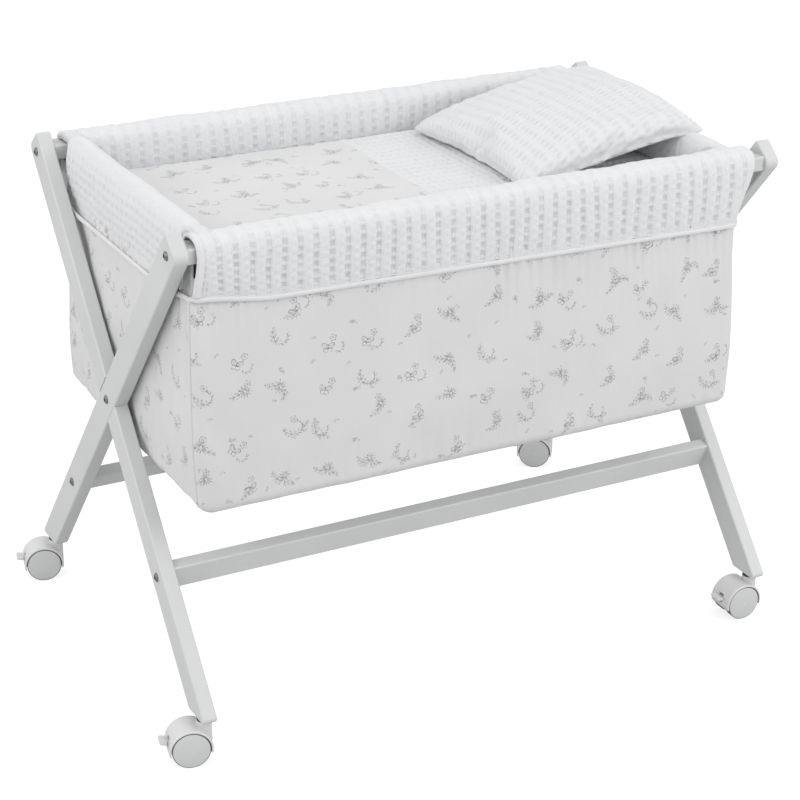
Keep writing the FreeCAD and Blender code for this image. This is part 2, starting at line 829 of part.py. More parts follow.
def build():
    pieces = []
    for end, word in ((-1, "left"), (1, "right")):
        for top, place in ((-1, "front"), (1, "rear")):
            pieces.append(leg("%s_leg_top_%s" % (word, place), end, top))
    for side, word in ((-1, "front"), (1, "rear")):
        pieces.append(bar(word + "_top_rail", "rail_width", "rail_height", "0",
                          signed(side, TOP_Y), TOP_Z))
        tilt = "front_stretcher_tilt" if side < 0 else "leg_angle"
        pieces.append(bar(word + "_stretcher", "stretcher_depth", "stretcher_width", tilt,
                          signed(side, LOW_Y), LOW_Z))
    pieces += fasteners()
    pieces += castors()
    pieces += basket()
    pieces += bands()
    pieces.append(piping())
    pieces += bedding()
    pieces.append(pillow())
    return pieces


def check(pieces):
    doc.recompute()
    failed = [o.Label for o in doc.Objects if {"Invalid", "Error"} & set(o.State)]
    if failed:
        raise RuntimeError("failed objects: %s" % failed)
    for piece in pieces:
        shape = piece.Shape
        if shape.isNull() or not shape.isValid() or not shape.Solids:
            raise RuntimeError(piece.Label + " has no valid solid")


def export(pieces):
    os.makedirs("parts", exist_ok=True)
    for piece in pieces:
        piece.Shape.exportStep("parts/%s.step" % piece.Label)


pieces = build()
check(pieces)
export(pieces)
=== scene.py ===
import math

import bpy
import numpy as np
from mathutils import Matrix, Vector


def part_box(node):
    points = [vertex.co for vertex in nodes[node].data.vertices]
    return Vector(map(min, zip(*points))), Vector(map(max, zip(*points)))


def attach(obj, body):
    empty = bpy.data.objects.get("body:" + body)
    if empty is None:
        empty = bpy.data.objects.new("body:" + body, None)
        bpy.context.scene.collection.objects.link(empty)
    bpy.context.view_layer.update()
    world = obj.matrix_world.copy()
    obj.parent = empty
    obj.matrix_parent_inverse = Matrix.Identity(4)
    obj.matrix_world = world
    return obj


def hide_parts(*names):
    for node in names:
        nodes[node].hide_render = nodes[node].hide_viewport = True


# Bassinet on a stand, in metres. +X is the pillow end, -Y the front, +Z up.

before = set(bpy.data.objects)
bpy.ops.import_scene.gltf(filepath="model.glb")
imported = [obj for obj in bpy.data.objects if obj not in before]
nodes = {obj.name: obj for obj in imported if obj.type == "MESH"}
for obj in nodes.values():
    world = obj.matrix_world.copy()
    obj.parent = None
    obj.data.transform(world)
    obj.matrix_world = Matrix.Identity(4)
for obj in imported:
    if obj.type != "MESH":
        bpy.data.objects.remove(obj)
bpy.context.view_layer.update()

# ---- places, from the frame

rail_low, rail_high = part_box("front_top_rail")
rear_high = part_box("rear_top_rail")[1]
MID = Vector(((rail_low.x + rail_high.x) / 2, (rail_low.y + rear_high.y) / 2, 0))

# X and Y below are measured from MID
LEFT_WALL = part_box("basket_left_panel")[0].x - MID.x
RIGHT_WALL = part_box("basket_right_panel")[1].x - MID.x
BASKET_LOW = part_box("basket_bottom_panel")[0].z
BASKET_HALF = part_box("basket_rear_panel")[1].y - MID.y
band_low, band_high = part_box("rim_band_front")
BAND_LEFT, BAND_RIGHT = band_low.x - MID.x, band_high.x - MID.x
ROLL_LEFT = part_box("rim_band_left")[0].x - MID.x
ROLL_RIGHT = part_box("rim_band_right")[1].x - MID.x

quilt_low, quilt_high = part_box("quilt")
mattress_low, mattress_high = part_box("mattress")
pillow_low, pillow_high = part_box("pillow")

MM = 0.001

# ---- mesh helpers


def read(items, attribute, width, kind=np.float32):
    """One attribute of all items, such as a mesh's vertices, as an array with width columns."""
    values = np.empty(len(items) * width, kind)
    items.foreach_get(attribute, values)
    return values.reshape(-1, width) if width > 1 else values


def link(name, mesh):
    obj = bpy.data.objects.new(name, mesh)
    bpy.context.scene.collection.objects.link(obj)
    return obj


def mesh_piece(name, points, faces, uvs=None):
    """A smooth mesh object from points (n, 3), faces and one UV in metres for each point."""
    mesh = bpy.data.meshes.new(name)
    mesh.from_pydata(np.asarray(points).reshape(-1, 3).tolist(), [], faces)
    if uvs is not None:
        corner = read(mesh.loops, "vertex_index", 1, np.int64)
        layer = mesh.uv_layers.new(name="cloth")
        corner_uvs = np.asarray(uvs).reshape(-1, 2)[corner]
        layer.data.foreach_set("uv", corner_uvs.astype(np.float32).ravel())
    mesh.shade_smooth()
    return link(name, mesh)


def grid_faces(rows, columns, wrap=False, offset=0, flip=False):
    """Quads of a grid of points stored row by row. wrap joins the last row to the first."""
    i = np.arange(rows if wrap else rows - 1)
    j = np.arange(columns - 1)
    i, j = (a.ravel() for a in np.meshgrid(i, j, indexing="ij"))
    k = (i + 1) % rows
    quads = np.stack([i * columns + j, k * columns + j, k * columns + j + 1, i * columns + j + 1], 1)
    return (quads[:, ::-1] if flip else quads) + offset


def close_ring(faces, rings, columns, column, start=0, flip=False):
    """Adds one large face over a column of a grid that wraps round."""
    ring = [start + i * columns + column for i in range(rings)]
    faces.append(ring[::-1] if flip else ring)


def grid_normals(points):
    across = np.gradient(points, axis=0)
    along = np.gradient(points, axis=1)
    normal = np.cross(across, along)
    return normal / (np.linalg.norm(normal, axis=-1, keepdims=True) + 1e-12)


def arc_lengths(line):
    return np.concatenate([[0], np.cumsum(np.linalg.norm(np.diff(line, axis=0), axis=1))])


def sampled(at, known, values):
    """Rows of values at other places than the known ones."""
    return np.stack([np.interp(at, known, column) for column in values.T], 1)


def smooth_line(points, step, measured=3):
    """An open line through the points, evenly spaced along a Catmull-Rom curve. Only the first
    few columns are distances; the rest go along with them."""
    p = np.asarray(points, float)
    padded = np.vstack([2 * p[0] - p[1], p, 2 * p[-1] - p[-2]])
    t = np.linspace(0, 1, 12, endpoint=False)[:, None]
    spans = []
    for a, b, c, d in zip(padded, padded[1:], padded[2:], padded[3:]):
        spans.append(0.5 * (2 * b + (c - a) * t + (2 * a - 5 * b + 4 * c - d) * t ** 2
                            + (3 * b - a - 3 * c + d) * t ** 3))
    line = np.vstack([*spans, p[-1:]])
    length = arc_lengths(line[:, :measured])
    at = np.linspace(0, length[-1], max(2, round(length[-1] / step) + 1))
    return sampled(at, length, line)


def ease(x, low, high):
    t = np.clip((x - low) / (high - low), 0, 1)
    return t * t * (3 - 2 * t)


def ripple(u, v, wavelength, seed, spread=1.0, count=7):
    """Smooth random waves, about -1 to 1. spread is how far their direction strays from u."""
    rng = np.random.default_rng(seed)
    total = 0
    for _ in range(count):
        angle = rng.uniform(-1, 1) * spread * math.pi / 2
        size = wavelength * rng.uniform(0.7, 1.5)
        phase = rng.uniform(0, 2 * math.pi)
        across = u * math.cos(angle) + v * math.sin(angle)
        total = total + np.sin(2 * math.pi * across / size + phase)
    return total / count * 1.8


def bell(distance, width):
    """1 at the distance 0, falling away on both sides within a few widths."""
    return np.exp(-(distance / width) ** 2)


def hollow(distance, flat, edge):
    """1 in the middle of a pit, 0 past its edge."""
    return 1 - ease(np.abs(distance), flat, edge)


def wrapped(value, size):
    """Distance from the middle of its cell, in cells of that size."""
    return (value / size + 0.5) % 1 * size - size / 2


def mark_pit_shade(piece, depth):
    """Stores how deep each point lies in the weave's pits, from 0 to 1, for its material to paint
    shade into the pits.
    """
    attribute = piece.data.attributes.new("hollow", "FLOAT", "POINT")
    attribute.data.foreach_set("value", np.clip(depth, 0, 1).astype(np.float32).ravel())


def ribbed_waffle(u, v, rib, cell, seed):
    """Height of a wide waffle weave, from -1 in its pits: columns of soft square pits, a rib
    apart along u and a cell apart along v, each with a row of puffed cells beside it."""
    u = u + ripple(v, u, rib * 5, seed, 0.6) * rib * 0.05
    v = v + ripple(u, v, cell * 12, seed + 1, 0.6) * cell * 0.18
    across, along = wrapped(u, rib), wrapped(v, cell)
    column = hollow(across, rib * 0.12, rib * 0.30)
    pit = column * (0.38 + 0.62 * hollow(along, cell * 0.2, cell * 0.48))
    puff = hollow(wrapped(u + rib * 0.42, rib), 0, rib * 0.25) * hollow(along, 0, cell * 0.5)
    cord = hollow(wrapped(u - rib * 0.33, rib), 0, rib * 0.07)
    uneven = 1 + 0.3 * ripple(u, v, cell * 3, seed + 2, 1.0)
    return 0.3 * puff + 0.12 * cord - pit * uneven


def small_waffle(u, v, cell, seed):
    """Height of an even waffle weave of small square pits, from -1 in its pits."""
    u = u + ripple(v, u, cell * 10, seed, 0.6) * cell * 0.15
    v = v + ripple(u, v, cell * 10, seed + 1, 0.6) * cell * 0.15
    edge = cell * 0.42
    pit = hollow(wrapped(u, cell), 0, edge) * hollow(wrapped(v, cell * 0.94), 0, edge)
    return -pit * (1 + 0.35 * ripple(u, v, cell * 3, seed + 2, 1.0))


def finish_piece(obj, body, material, slot, *replaced):
    """Gives a piece its material, or its list of them, its body and replaced nodes. slot is not
    used.
    """
    for m in material if isinstance(material, list) else [material]:
        obj.data.materials.append(m)
    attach(obj, body)
    if replaced:
        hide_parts(*replaced)


def thicken(obj, thickness):
    """Gives a sheet its cloth's thickness, to the inner side."""
    modifier = obj.modifiers.new("Thickness", "SOLIDIFY")
    modifier.thickness = thickness
    modifier.offset = -1


def sweep(line, half_width, half_thick, count=10):
    """Points of a tube along a line (n, 3). Its section is an ellipse with its width along
    the line's sideways direction, level with the floor where it can be."""
    line = np.asarray(line, float)
    along = np.gradient(line, axis=0)
    along /= np.linalg.norm(along, axis=1, keepdims=True)
    side = np.cross(along, [0.0, 0.0, 1.0])
    weak = np.linalg.norm(side, axis=1) < 0.2
    side[weak] = np.cross(along[weak], [1.0, 0.0, 0.0])
    side /= np.linalg.norm(side, axis=1, keepdims=True)
    up = np.cross(side, along)
    angle = np.linspace(0, 2 * math.pi, count, endpoint=False)
    return (line[:, None] + side[:, None] * (np.cos(angle) * half_width)[None, :, None]
            + up[:, None] * (np.sin(angle) * half_thick)[None, :, None])


def tubes(name, lines, half_width, half_thick, count=10):
    """One piece of several tubes with rounded ends."""
    points, faces, uvs, start = [], [], [], 0
    for line in lines:
        tube = sweep(line, half_width, half_thick, count)
        middle = np.asarray(line)
        lead = (middle[1] - middle[0]) * 0.3
        tail = (middle[-1] - middle[-2]) * 0.3
        first = middle[0] + (tube[0] - middle[0]) * 0.55 - lead
        last = middle[-1] + (tube[-1] - middle[-1]) * 0.55 + tail
        tube = np.concatenate([first[None], tube, last[None]])
        rows = len(tube)
        tube = tube.transpose(1, 0, 2)
        length = arc_lengths(tube[0])
        around = np.arange(count) * half_width * 6.28 / count
        uvs.append(np.stack(np.meshgrid(around, length, indexing="ij"), -1).reshape(-1, 2))
        faces += grid_faces(count, rows, wrap=True, offset=start).tolist()
        close_ring(faces, count, rows, 0, start, flip=True)
        close_ring(faces, count, rows, rows - 1, start)
        points.append(tube.reshape(-1, 3))
        start += rows * count
    return mesh_piece(name, np.vstack(points), faces, np.vstack(uvs))


# ---- shader helpers


def operator(kind):
    """A Field method that adds a Math node of that kind."""
    return lambda field, *others: field.math(kind, *others)


class Field:
    """A value that varies over a surface. Arithmetic on it adds Math nodes to its material."""

    def __init__(self, tree, socket):
        self.tree = tree
        self.socket = socket

    def math(self, operation, *others):
        node = self.tree.nodes.new("ShaderNodeMath")
        node.operation = operation
        for slot, item in zip(node.inputs, (self, *others)):
            if isinstance(item, Field):
                self.tree.links.new(item.socket, slot)
            else:
                slot.default_value = item
        return Field(self.tree, node.outputs[0])

    __add__ = operator("ADD")
    __sub__ = operator("SUBTRACT")
    __mul__ = operator("MULTIPLY")
    __truediv__ = operator("DIVIDE")
    __abs__ = operator("ABSOLUTE")
    sin = operator("SINE")
    cos = operator("COSINE")
    sqrt = operator("SQRT")
    under = operator("LESS_THAN")
    over = operator("GREATER_THAN")
    least = operator("MINIMUM")
    most = operator("MAXIMUM")

    def wrapped(self, size):
        """Distance from the middle of its cell, in cells of that size."""
        return (self / size).math("FRACT") * size - size / 2

    def ramp(self, low, high):
        """0 at low and 1 at high, smooth between."""
        node = self.tree.nodes.new("ShaderNodeMapRange")
        node.interpolation_type = "SMOOTHSTEP"
        self.tree.links.new(self.socket, node.inputs["Value"])
        node.inputs["From Min"].default_value = low
        node.inputs["From Max"].default_value = high
        return Field(self.tree, node.outputs["Result"])


class Material:
    """A Principled material with its node tree at hand."""

    def __init__(self, name, colour, roughness, sheen=0.0, metallic=0.0):
        self.material = bpy.data.materials.new(name)
        self.material.use_nodes = True
        self.tree = self.material.node_tree
        self.shader = self.tree.nodes["Principled BSDF"]
        values = (("Base Color", (*colour, 1)), ("Roughness", roughness),
                  ("Metallic", metallic), ("Sheen Weight", sheen))
        for key, value in values:
            self.shader.inputs[key].default_value = value

    def node(self, kind, **inputs):
        node = self.tree.nodes.new(kind)
        for name, item in inputs.items():
            node.inputs[name.replace("_", " ")].default_value = item
        return node

    def link(self, source, target):
        self.tree.links.new(source, target)

    def mapped(self, vector, kind, **inputs):
        node = self.node("ShaderNodeMapping", **inputs)
        node.vector_type = kind
        self.link(vector, node.inputs[0])
        return node.outputs[0]

    def place(self, kind="Object", scale=(1, 1, 1), turn=None):
        """A coordinate vector: Object is the row frame in metres, UV is along the cloth."""
        vector = self.node("ShaderNodeTexCoord").outputs[kind]
        if turn:
            vector = self.mapped(vector, "TEXTURE", Rotation=turn)
        return self.mapped(vector, "POINT", Scale=scale)

    def noise(self, vector, scale, detail=3.0, roughness=0.5):
        node = self.node("ShaderNodeTexNoise", Scale=scale, Detail=detail, Roughness=roughness)
        self.link(vector, node.inputs["Vector"])
        return Field(self.tree, node.outputs["Fac"])

    def split(self, vector):
        node = self.node("ShaderNodeSeparateXYZ")
        self.link(vector, node.inputs[0])
        return [Field(self.tree, socket) for socket in node.outputs]

    def colour(self, share, *ends):
        """A colour that runs from the first end at 0 to the second at 1. Each end is a colour
        or a socket."""
        mix = self.node("ShaderNodeMix")
        mix.data_type = "RGBA"
        self.link(share.socket, mix.inputs["Factor"])
        for key, end in zip("AB", ends):
            if isinstance(end, tuple):
                mix.inputs[key].default_value = (*end, 1)
            else:
                self.link(end, mix.inputs[key])
        return mix.outputs["Result"]

    def paint(self, socket):
        self.link(socket, self.shader.inputs["Base Color"])

    def roughen(self, field):
        self.link(field.socket, self.shader.inputs["Roughness"])

    def bump(self, height, distance, strength):
        node = self.node("ShaderNodeBump", Strength=strength, Distance=distance)
        self.link(height.socket, node.inputs["Height"])
        self.link(node.outputs[0], self.shader.inputs["Normal"])


WHITE = (0.68, 0.68, 0.682)
WHITE_PLASTIC = (0.60, 0.605, 0.605)
TREAD_GREY = (0.10, 0.10, 0.10)
INK = (0.13, 0.13, 0.128)
PAINT_DARK, PAINT_LIGHT = (0.595, 0.605, 0.60), (0.625, 0.635, 0.63)
LEG_LEAN = math.radians(39.9)
THREAD = 1.1 * MM


def shaded(colour, share):
    return tuple(c * share for c in colour)


def waves(field, length):
    return (field * (2 * math.pi / length)).sin()


def weave(m, vector, pitch):
    """Height of a plain weave: over-and-under threads."""
    u, v, _ = m.split(vector)
    return waves(u, pitch) * waves(v, pitch) * 0.5 + 0.5


def cloth(name, colour, pitch=THREAD):
    m = Material(name, colour, 0.88, sheen=0.12)
    vector = m.place("UV")
    cloudy = m.noise(vector, 9.0, 4.0)
    m.paint(m.colour(cloudy.ramp(0.3, 0.7), shaded(colour, 0.965), colour))
    fuzz = m.noise(vector, 900.0, 2.0, 0.7)
    m.bump(weave(m, vector, pitch) + fuzz * 0.8, 0.12 * MM, 0.7)
    return m


def waffle_cloth(name, colour):
    """Cotton with looser, softer threads. Its pits are in the mesh, and its colour has painted shade
    in them, darker with the pit depth stored on the mesh.
    """
    m = Material(name, colour, 0.92, sheen=0.2)
    vector = m.place("UV")
    u, v, _ = m.split(vector)
    cloudy = m.noise(vector, 14.0, 4.0)
    depth = m.node("ShaderNodeAttribute")
    depth.attribute_name = "hollow"
    depth = Field(m.tree, depth.outputs["Fac"])
    lengthwise = m.noise(m.place("UV", (620, 90, 1)), 1.0, 3.0, 0.6)
    crosswise = m.noise(m.place("UV", (110, 560, 1)), 1.0, 3.0, 0.6)
    threads = lengthwise + crosswise
    # painted shade: the colour darkens in the weave's pits, by their stored depth
    shade = cloudy.ramp(0.25, 0.75) * 0.12 + threads * 0.26 + 0.70 - depth * 0.36
    m.paint(m.colour(shade, shaded(colour, 0.74), colour))
    cords = waves(u, 2.6 * MM) * 0.6 + waves(v, 1.8 * MM) * 0.4
    fuzz = m.noise(vector, 650.0, 3.0, 0.75)
    m.bump(cords + fuzz * 1.6 + threads * 1.5, 0.32 * MM, 0.8)
    return m.material


def line_at(distance, half=0.3, soft=0.2):
    """1 on a thin line where the distance (mm) is 0."""
    return abs(distance).ramp(half + soft, half)


def sprig(x, y, reach, leaf, gap):
    """A bent stem with slanting leaves. x and y in mm from its middle."""
    x = x - y * y * 0.025
    inside = abs(y).under(reach)
    stem = line_at(x, 0.25) * inside
    side = abs(x)
    long = y * (-leaf * 0.35 / reach) + leaf * 0.75
    slant = abs((y - side * 0.9).wrapped(gap))
    fill = (side / long).least(1.0)
    edge = (fill * math.pi).sin() * (gap * 0.22)
    outline = line_at(slant - edge, 0.3)
    return stem.most(outline * side.under(long) * inside)


def polar(x, y):
    """Distance from the middle, and the angle round it."""
    return (x * x + y * y).sqrt(), y.math("ARCTAN2", x)


def burst(x, y, size, rays):
    """A seed head: short strokes that spread from its middle."""
    radius, angle = polar(x, y)
    stroke = line_at((angle * (rays / 2)).sin() * radius * (2 / rays), 0.34)
    outer = stroke * radius.under(size) * radius.over(size * 0.5)
    turned = line_at((angle * (rays / 2)).cos() * radius * (2 / rays), 0.34)
    inner = turned * radius.under(size * 0.62) * radius.over(size * 0.2)
    return outer.most(inner)


def crescent(x, y, size):
    """A branch bent round most of a circle, with small leaves on its outer side."""
    radius, angle = polar(x, y)
    away = radius - size
    along = angle * size
    leaves = line_at((along - away * 0.9).wrapped(3.9), 0.42) * away.under(3.0) * away.over(0.0)
    return (line_at(away, 0.28).most(leaves)) * angle.under(1.0) * angle.over(-2.2)


def flower(x, y, size):
    """Five petal outlines round a ring."""
    radius, angle = polar(x, y)
    petal = abs((angle * 2.5).cos()) * (size * 0.45) + size * 0.5
    return line_at(radius - petal, 0.36).most(line_at(radius - size * 0.2, 0.36))


def wings(x, y, size):
    """A small butterfly: two wing outlines a side, with veins, and a body."""
    side = abs(x)
    a, b = side - size * 0.48, y - size * 0.3
    spread, _ = polar((a * 0.8 + b * 0.6) / (size * 0.52), (b * 0.8 - a * 0.6) / (size * 0.34))
    upper = (spread - 1.0) * (size * 0.4)
    veins = line_at((y - side * 0.75).wrapped(size * 0.3), 0.26) * spread.under(0.8)
    spread, _ = polar((side - size * 0.32) / (size * 0.32), (y + size * 0.34) / (size * 0.3))
    lower = (spread - 1.0) * (size * 0.3)
    body = line_at(x, 0.35) * abs(y).under(size * 0.5)
    return line_at(upper, 0.34).most(line_at(lower, 0.3)).most(body).most(veins)


def rotated(x, y, angle):
    """x and y turned by an angle, a Field."""
    c, s = angle.cos(), angle.sin()
    return x * c + y * s, y * c - x * s


def printed_cloth(name, colour):
    """White cotton with a scattered print of fine grey sprigs, flowers and butterflies."""
    m = cloth(name, colour)
    vector = m.place("UV")
    drawn = None
    # the large motifs, and small ones between them: spacing in mm, scatter, size and offset
    for spacing, scatter, size, offset in ((58.0, 0.5, 1.0, 0.0), (42.0, 0.8, 0.45, 0.0173)):
        shifted = m.mapped(vector, "POINT", Location=(offset, offset * 0.6, 0))
        cells = m.node("ShaderNodeTexVoronoi", Scale=1000 / spacing, Randomness=scatter)
        cells.voronoi_dimensions = "2D"
        m.link(shifted, cells.inputs["Vector"])
        u, v, _ = m.split(shifted)
        cu, cv, _ = m.split(cells.outputs["Position"])
        first, second, third = m.split(cells.outputs["Color"])
        x, y = (u - cu) * (1000 / size), (v - cv) * (1000 / size)
        x, y = rotated(x, y, (first - 0.5) * 1.5)
        x2, y2 = rotated(x + 11.0, y + 2.0, third * 2.0 + 0.4)
        x3, y3 = rotated(x - 11.0, y + 5.0, third * -2.5 - 0.6)
        x4, y4 = rotated(x - 3.0, y - 12.0, first * 4.0)
        head = burst(x, y - 2.0, 8.5, 11)
        branch = sprig(x2, y2, 10.5, 6.5, 6.2)
        twig = sprig(x3, y3, 8.0, 5.5, 5.6)
        bud = flower(x4, y4, 4.8)
        posy = head * third.over(0.25) + crescent(x, y, 8.5) * third.under(0.25)
        posy = posy.most(branch).most(twig * second.under(0.75)).most(bud * first.over(0.4))
        fly = wings(x + 3.0, y + 1.0, 9.0).most(crescent(x - 11.0, y, 6.5) * third.under(0.5))
        fly = fly.most(bud).most(branch * first.over(0.5))
        part = posy * second.over(0.35) + fly * second.under(0.35)
        if size < 1:
            part = (twig + head * third.over(0.7)) * second.under(0.6)
        drawn = part if drawn is None else drawn.most(part)
    broken = m.noise(vector, 260.0, 2.0, 0.5).ramp(0.34, 0.60)
    ink = drawn * (broken * 0.75 + 0.2) * 0.85
    plain = m.shader.inputs["Base Color"].links[0].from_socket
    m.paint(m.colour(ink, plain, INK))
    return m.material


def painted_wood(name, lean):
    """White satin paint, with a faint grain along a bar that leans about X, or lies along it."""
    m = Material(name, PAINT_LIGHT, 0.42)
    if lean is None:
        vector = m.place("Object", (40, 260, 260))
    else:
        vector = m.place("Object", (260, 260, 14), (lean, 0, 0))
    grain = m.noise(vector, 1.0, 4.0, 0.6)
    speckle = m.noise(m.place("Object"), 900.0, 2.0)
    cloudy = m.noise(m.place("Object"), 7.0, 3.0)
    m.paint(m.colour(cloudy.ramp(0.3, 0.7), PAINT_DARK, PAINT_LIGHT))
    m.roughen(grain * 0.16 + 0.36)
    m.bump(grain * 0.7 + speckle * 0.3, 0.25 * MM, 0.35)
    return m.material


def fine_grain(m, smoothest):
    """The slight grain of moulded plastic."""
    grain = m.noise(m.place("Object"), 1600.0, 2.0)
    m.roughen(grain * 0.1 + smoothest)
    m.bump(grain, 0.06 * MM, 0.4)


def plastic(name, colour, roughness):
    m = Material(name, colour, roughness)
    cloudy = m.noise(m.place("Object"), 40.0, 3.0)
    m.paint(m.colour(cloudy, shaded(colour, 0.97), colour))
    fine_grain(m, roughness - 0.05)
    return m.material


def wheel(name, node):
    """White plastic hub with a dark grey tread round it."""
    m = Material(name, WHITE_PLASTIC, 0.4)
    low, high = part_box(node)
    distance = m.node("ShaderNodeVectorMath")
    distance.operation = "DISTANCE"
    m.link(m.place("Object"), distance.inputs[0])
    distance.inputs[1].default_value = (low + high) / 2
    away = Field(m.tree, distance.outputs["Value"])
    radius = (high.z - low.z) / 2
    tread = away.ramp(radius - 0.5 * MM, radius - 0.1 * MM)
    m.paint(m.colour(tread, WHITE_PLASTIC, TREAD_GREY))
    fine_grain(m, 0.36)
    return m.material


def steel(name):
    m = Material(name, (0.60, 0.60, 0.61), 0.28, metallic=1.0)
    scratches = m.noise(m.place("Object", (60, 900, 900)), 3.0, 3.0)
    m.roughen(scratches * 0.22 + 0.18)
    m.paint(m.colour(scratches, (0.16, 0.16, 0.165), (0.34, 0.34, 0.35)))
    m.bump(scratches, 0.05 * MM, 0.3)
    return m.material


def bare_board(name):
    m = Material(name, (0.62, 0.50, 0.36), 0.7)
    grain = m.noise(m.place("Object", (6, 90, 90)), 1.0, 5.0, 0.65)
    m.paint(m.colour(grain.ramp(0.35, 0.65), (0.50, 0.38, 0.25), (0.66, 0.53, 0.38)))
    m.bump(grain, 0.3 * MM, 0.4)
    return m.material


PRINT = printed_cloth("printed_cotton", WHITE)
WAFFLE = waffle_cloth("waffle_cotton", (0.75, 0.755, 0.765))
PLAIN = cloth("plain_cotton", (0.74, 0.74, 0.75)).material  # the mattress's cover
BINDING = cloth("binding_cotton", (0.73, 0.73, 0.745), 0.9 * MM).material

# ---- stand and castors


def dress_frame():
    """Materials for the CAD nodes that stay, chosen by the ends of their names."""
    front_top = painted_wood("painted_wood_leaning_forward", LEG_LEAN)
    rear_top = painted_wood("painted_wood_leaning_back", -LEG_LEAN)
    along = painted_wood("painted_wood_lengthwise", None)
    metal = steel("satin_steel")
    dark = plastic("dark_plastic", (0.035, 0.035, 0.037), 0.5)
    shell = plastic("white_plastic", (0.66, 0.665, 0.66), 0.34)
    board = bare_board("plywood")
    chosen = {
        "leg_top_front": front_top, "leg_top_rear": rear_top, "rail": along, "stretcher": along,
        "bolts": metal, "nuts": metal, "stems": metal, "axle": metal, "sockets": dark,
        "hood": shell, "brake": shell, "base_board": board,
    }
    for name, node in nodes.items():
        material = next((chosen[key] for key in chosen if name.endswith(key)), None)
        if name.endswith("_wheel"):
            material = wheel("plastic_" + name, name)
        if material:
            node.data.materials.clear()
            node.data.materials.append(material)


# ---- basket

CORNER = 21 * MM  # radius of its upright corners
EDGE = 18 * MM  # radius of its lower edges
CLOTH = 1.6 * MM
RIM = 0.598  # height of the bands' hem, where the basket's cloth comes out
FRONT_TOP, END_TOP = 0.634, 0.650  # how far up the cloths run, under the bands and the rolls


def wall_inset(z):
    """How far the basket's side stands inside its nominal wall at a height."""
    tucked = 5 * MM * ease(z, RIM, RIM + 24 * MM)
    drawn_in = 3 * MM * ease(-z, -0.42, -BASKET_LOW)
    belly = 1.5 * MM * np.sin(math.pi * np.clip((z - BASKET_LOW) / 0.28, 0, 1))
    return tucked + drawn_in - belly


def wall_stations(top):
    """(inset, height) from under the rim down and round the lower edge."""
    upright = np.arange(top, BASKET_LOW + EDGE, -3.2 * MM)
    stations = [(float(wall_inset(z)), z) for z in upright]
    base = float(wall_inset(BASKET_LOW + EDGE))
    for angle in np.linspace(0, math.pi / 2, 12):
        inset = base + EDGE * (1 - math.cos(angle))
        stations.append((inset, BASKET_LOW + EDGE * (1 - math.sin(angle))))
    return np.array(stations)


def wall_run(side, step):
    """Points (x, y) and outward normals along one side's wall, seam to seam, at no inset. The
    front and rear cloths go round the corners and the end cloths are sewn between them."""
    left, right, half = LEFT_WALL, RIGHT_WALL, BASKET_HALF
    runs = {
        "front": ((left, -half), (right, -half), (0, -1)),
        "right": ((right, -half), (right, half), (1, 0)),
        "rear": ((right, half), (left, half), (0, 1)),
        "left": ((left, half), (left, -half), (-1, 0)),
    }
    start, end, normal = (np.array(p, float) for p in runs[side])
    along = (end - start) / np.linalg.norm(end - start)
    turn = np.linspace(math.pi / 2, 0, 14)[:-1] if side in ("front", "rear") else []
    points, normals = [], []
    for a in turn:
        n = normal * math.cos(a) - along * math.sin(a)
        points.append(start + (along - normal) * CORNER + n * CORNER)
        normals.append(n)
    length = np.linalg.norm(end - start) - 2 * CORNER
    for t in np.linspace(0, length, round(length / step) + 1):
        points.append(start + along * (CORNER + t))
        normals.append(normal)
    for a in turn[::-1]:
        n = normal * math.cos(a) + along * math.sin(a)
        points.append(end - (along + normal) * CORNER + n * CORNER)
        normals.append(n)
    return np.array(points), np.array(normals)


def slack(grid):
    """The basket's uneven hang: its rear left corner and lower right side fall inwards."""
    x, y, z = grid[..., 0].copy(), grid[..., 1].copy(), grid[..., 2]
    corner = ease(y, 0.08, 0.24) * ease(-x, 0.28, 0.40)
    grid[..., 0] += corner * (6 + 7 * ease(z, 0.34, 0.50) - 8 * ease(z, 0.54, 0.60)) * MM
    grid[..., 0] -= ease(x, 0.25, 0.38) * (9 - 12 * ease(-z, -0.62, -0.34)) * MM
    return grid


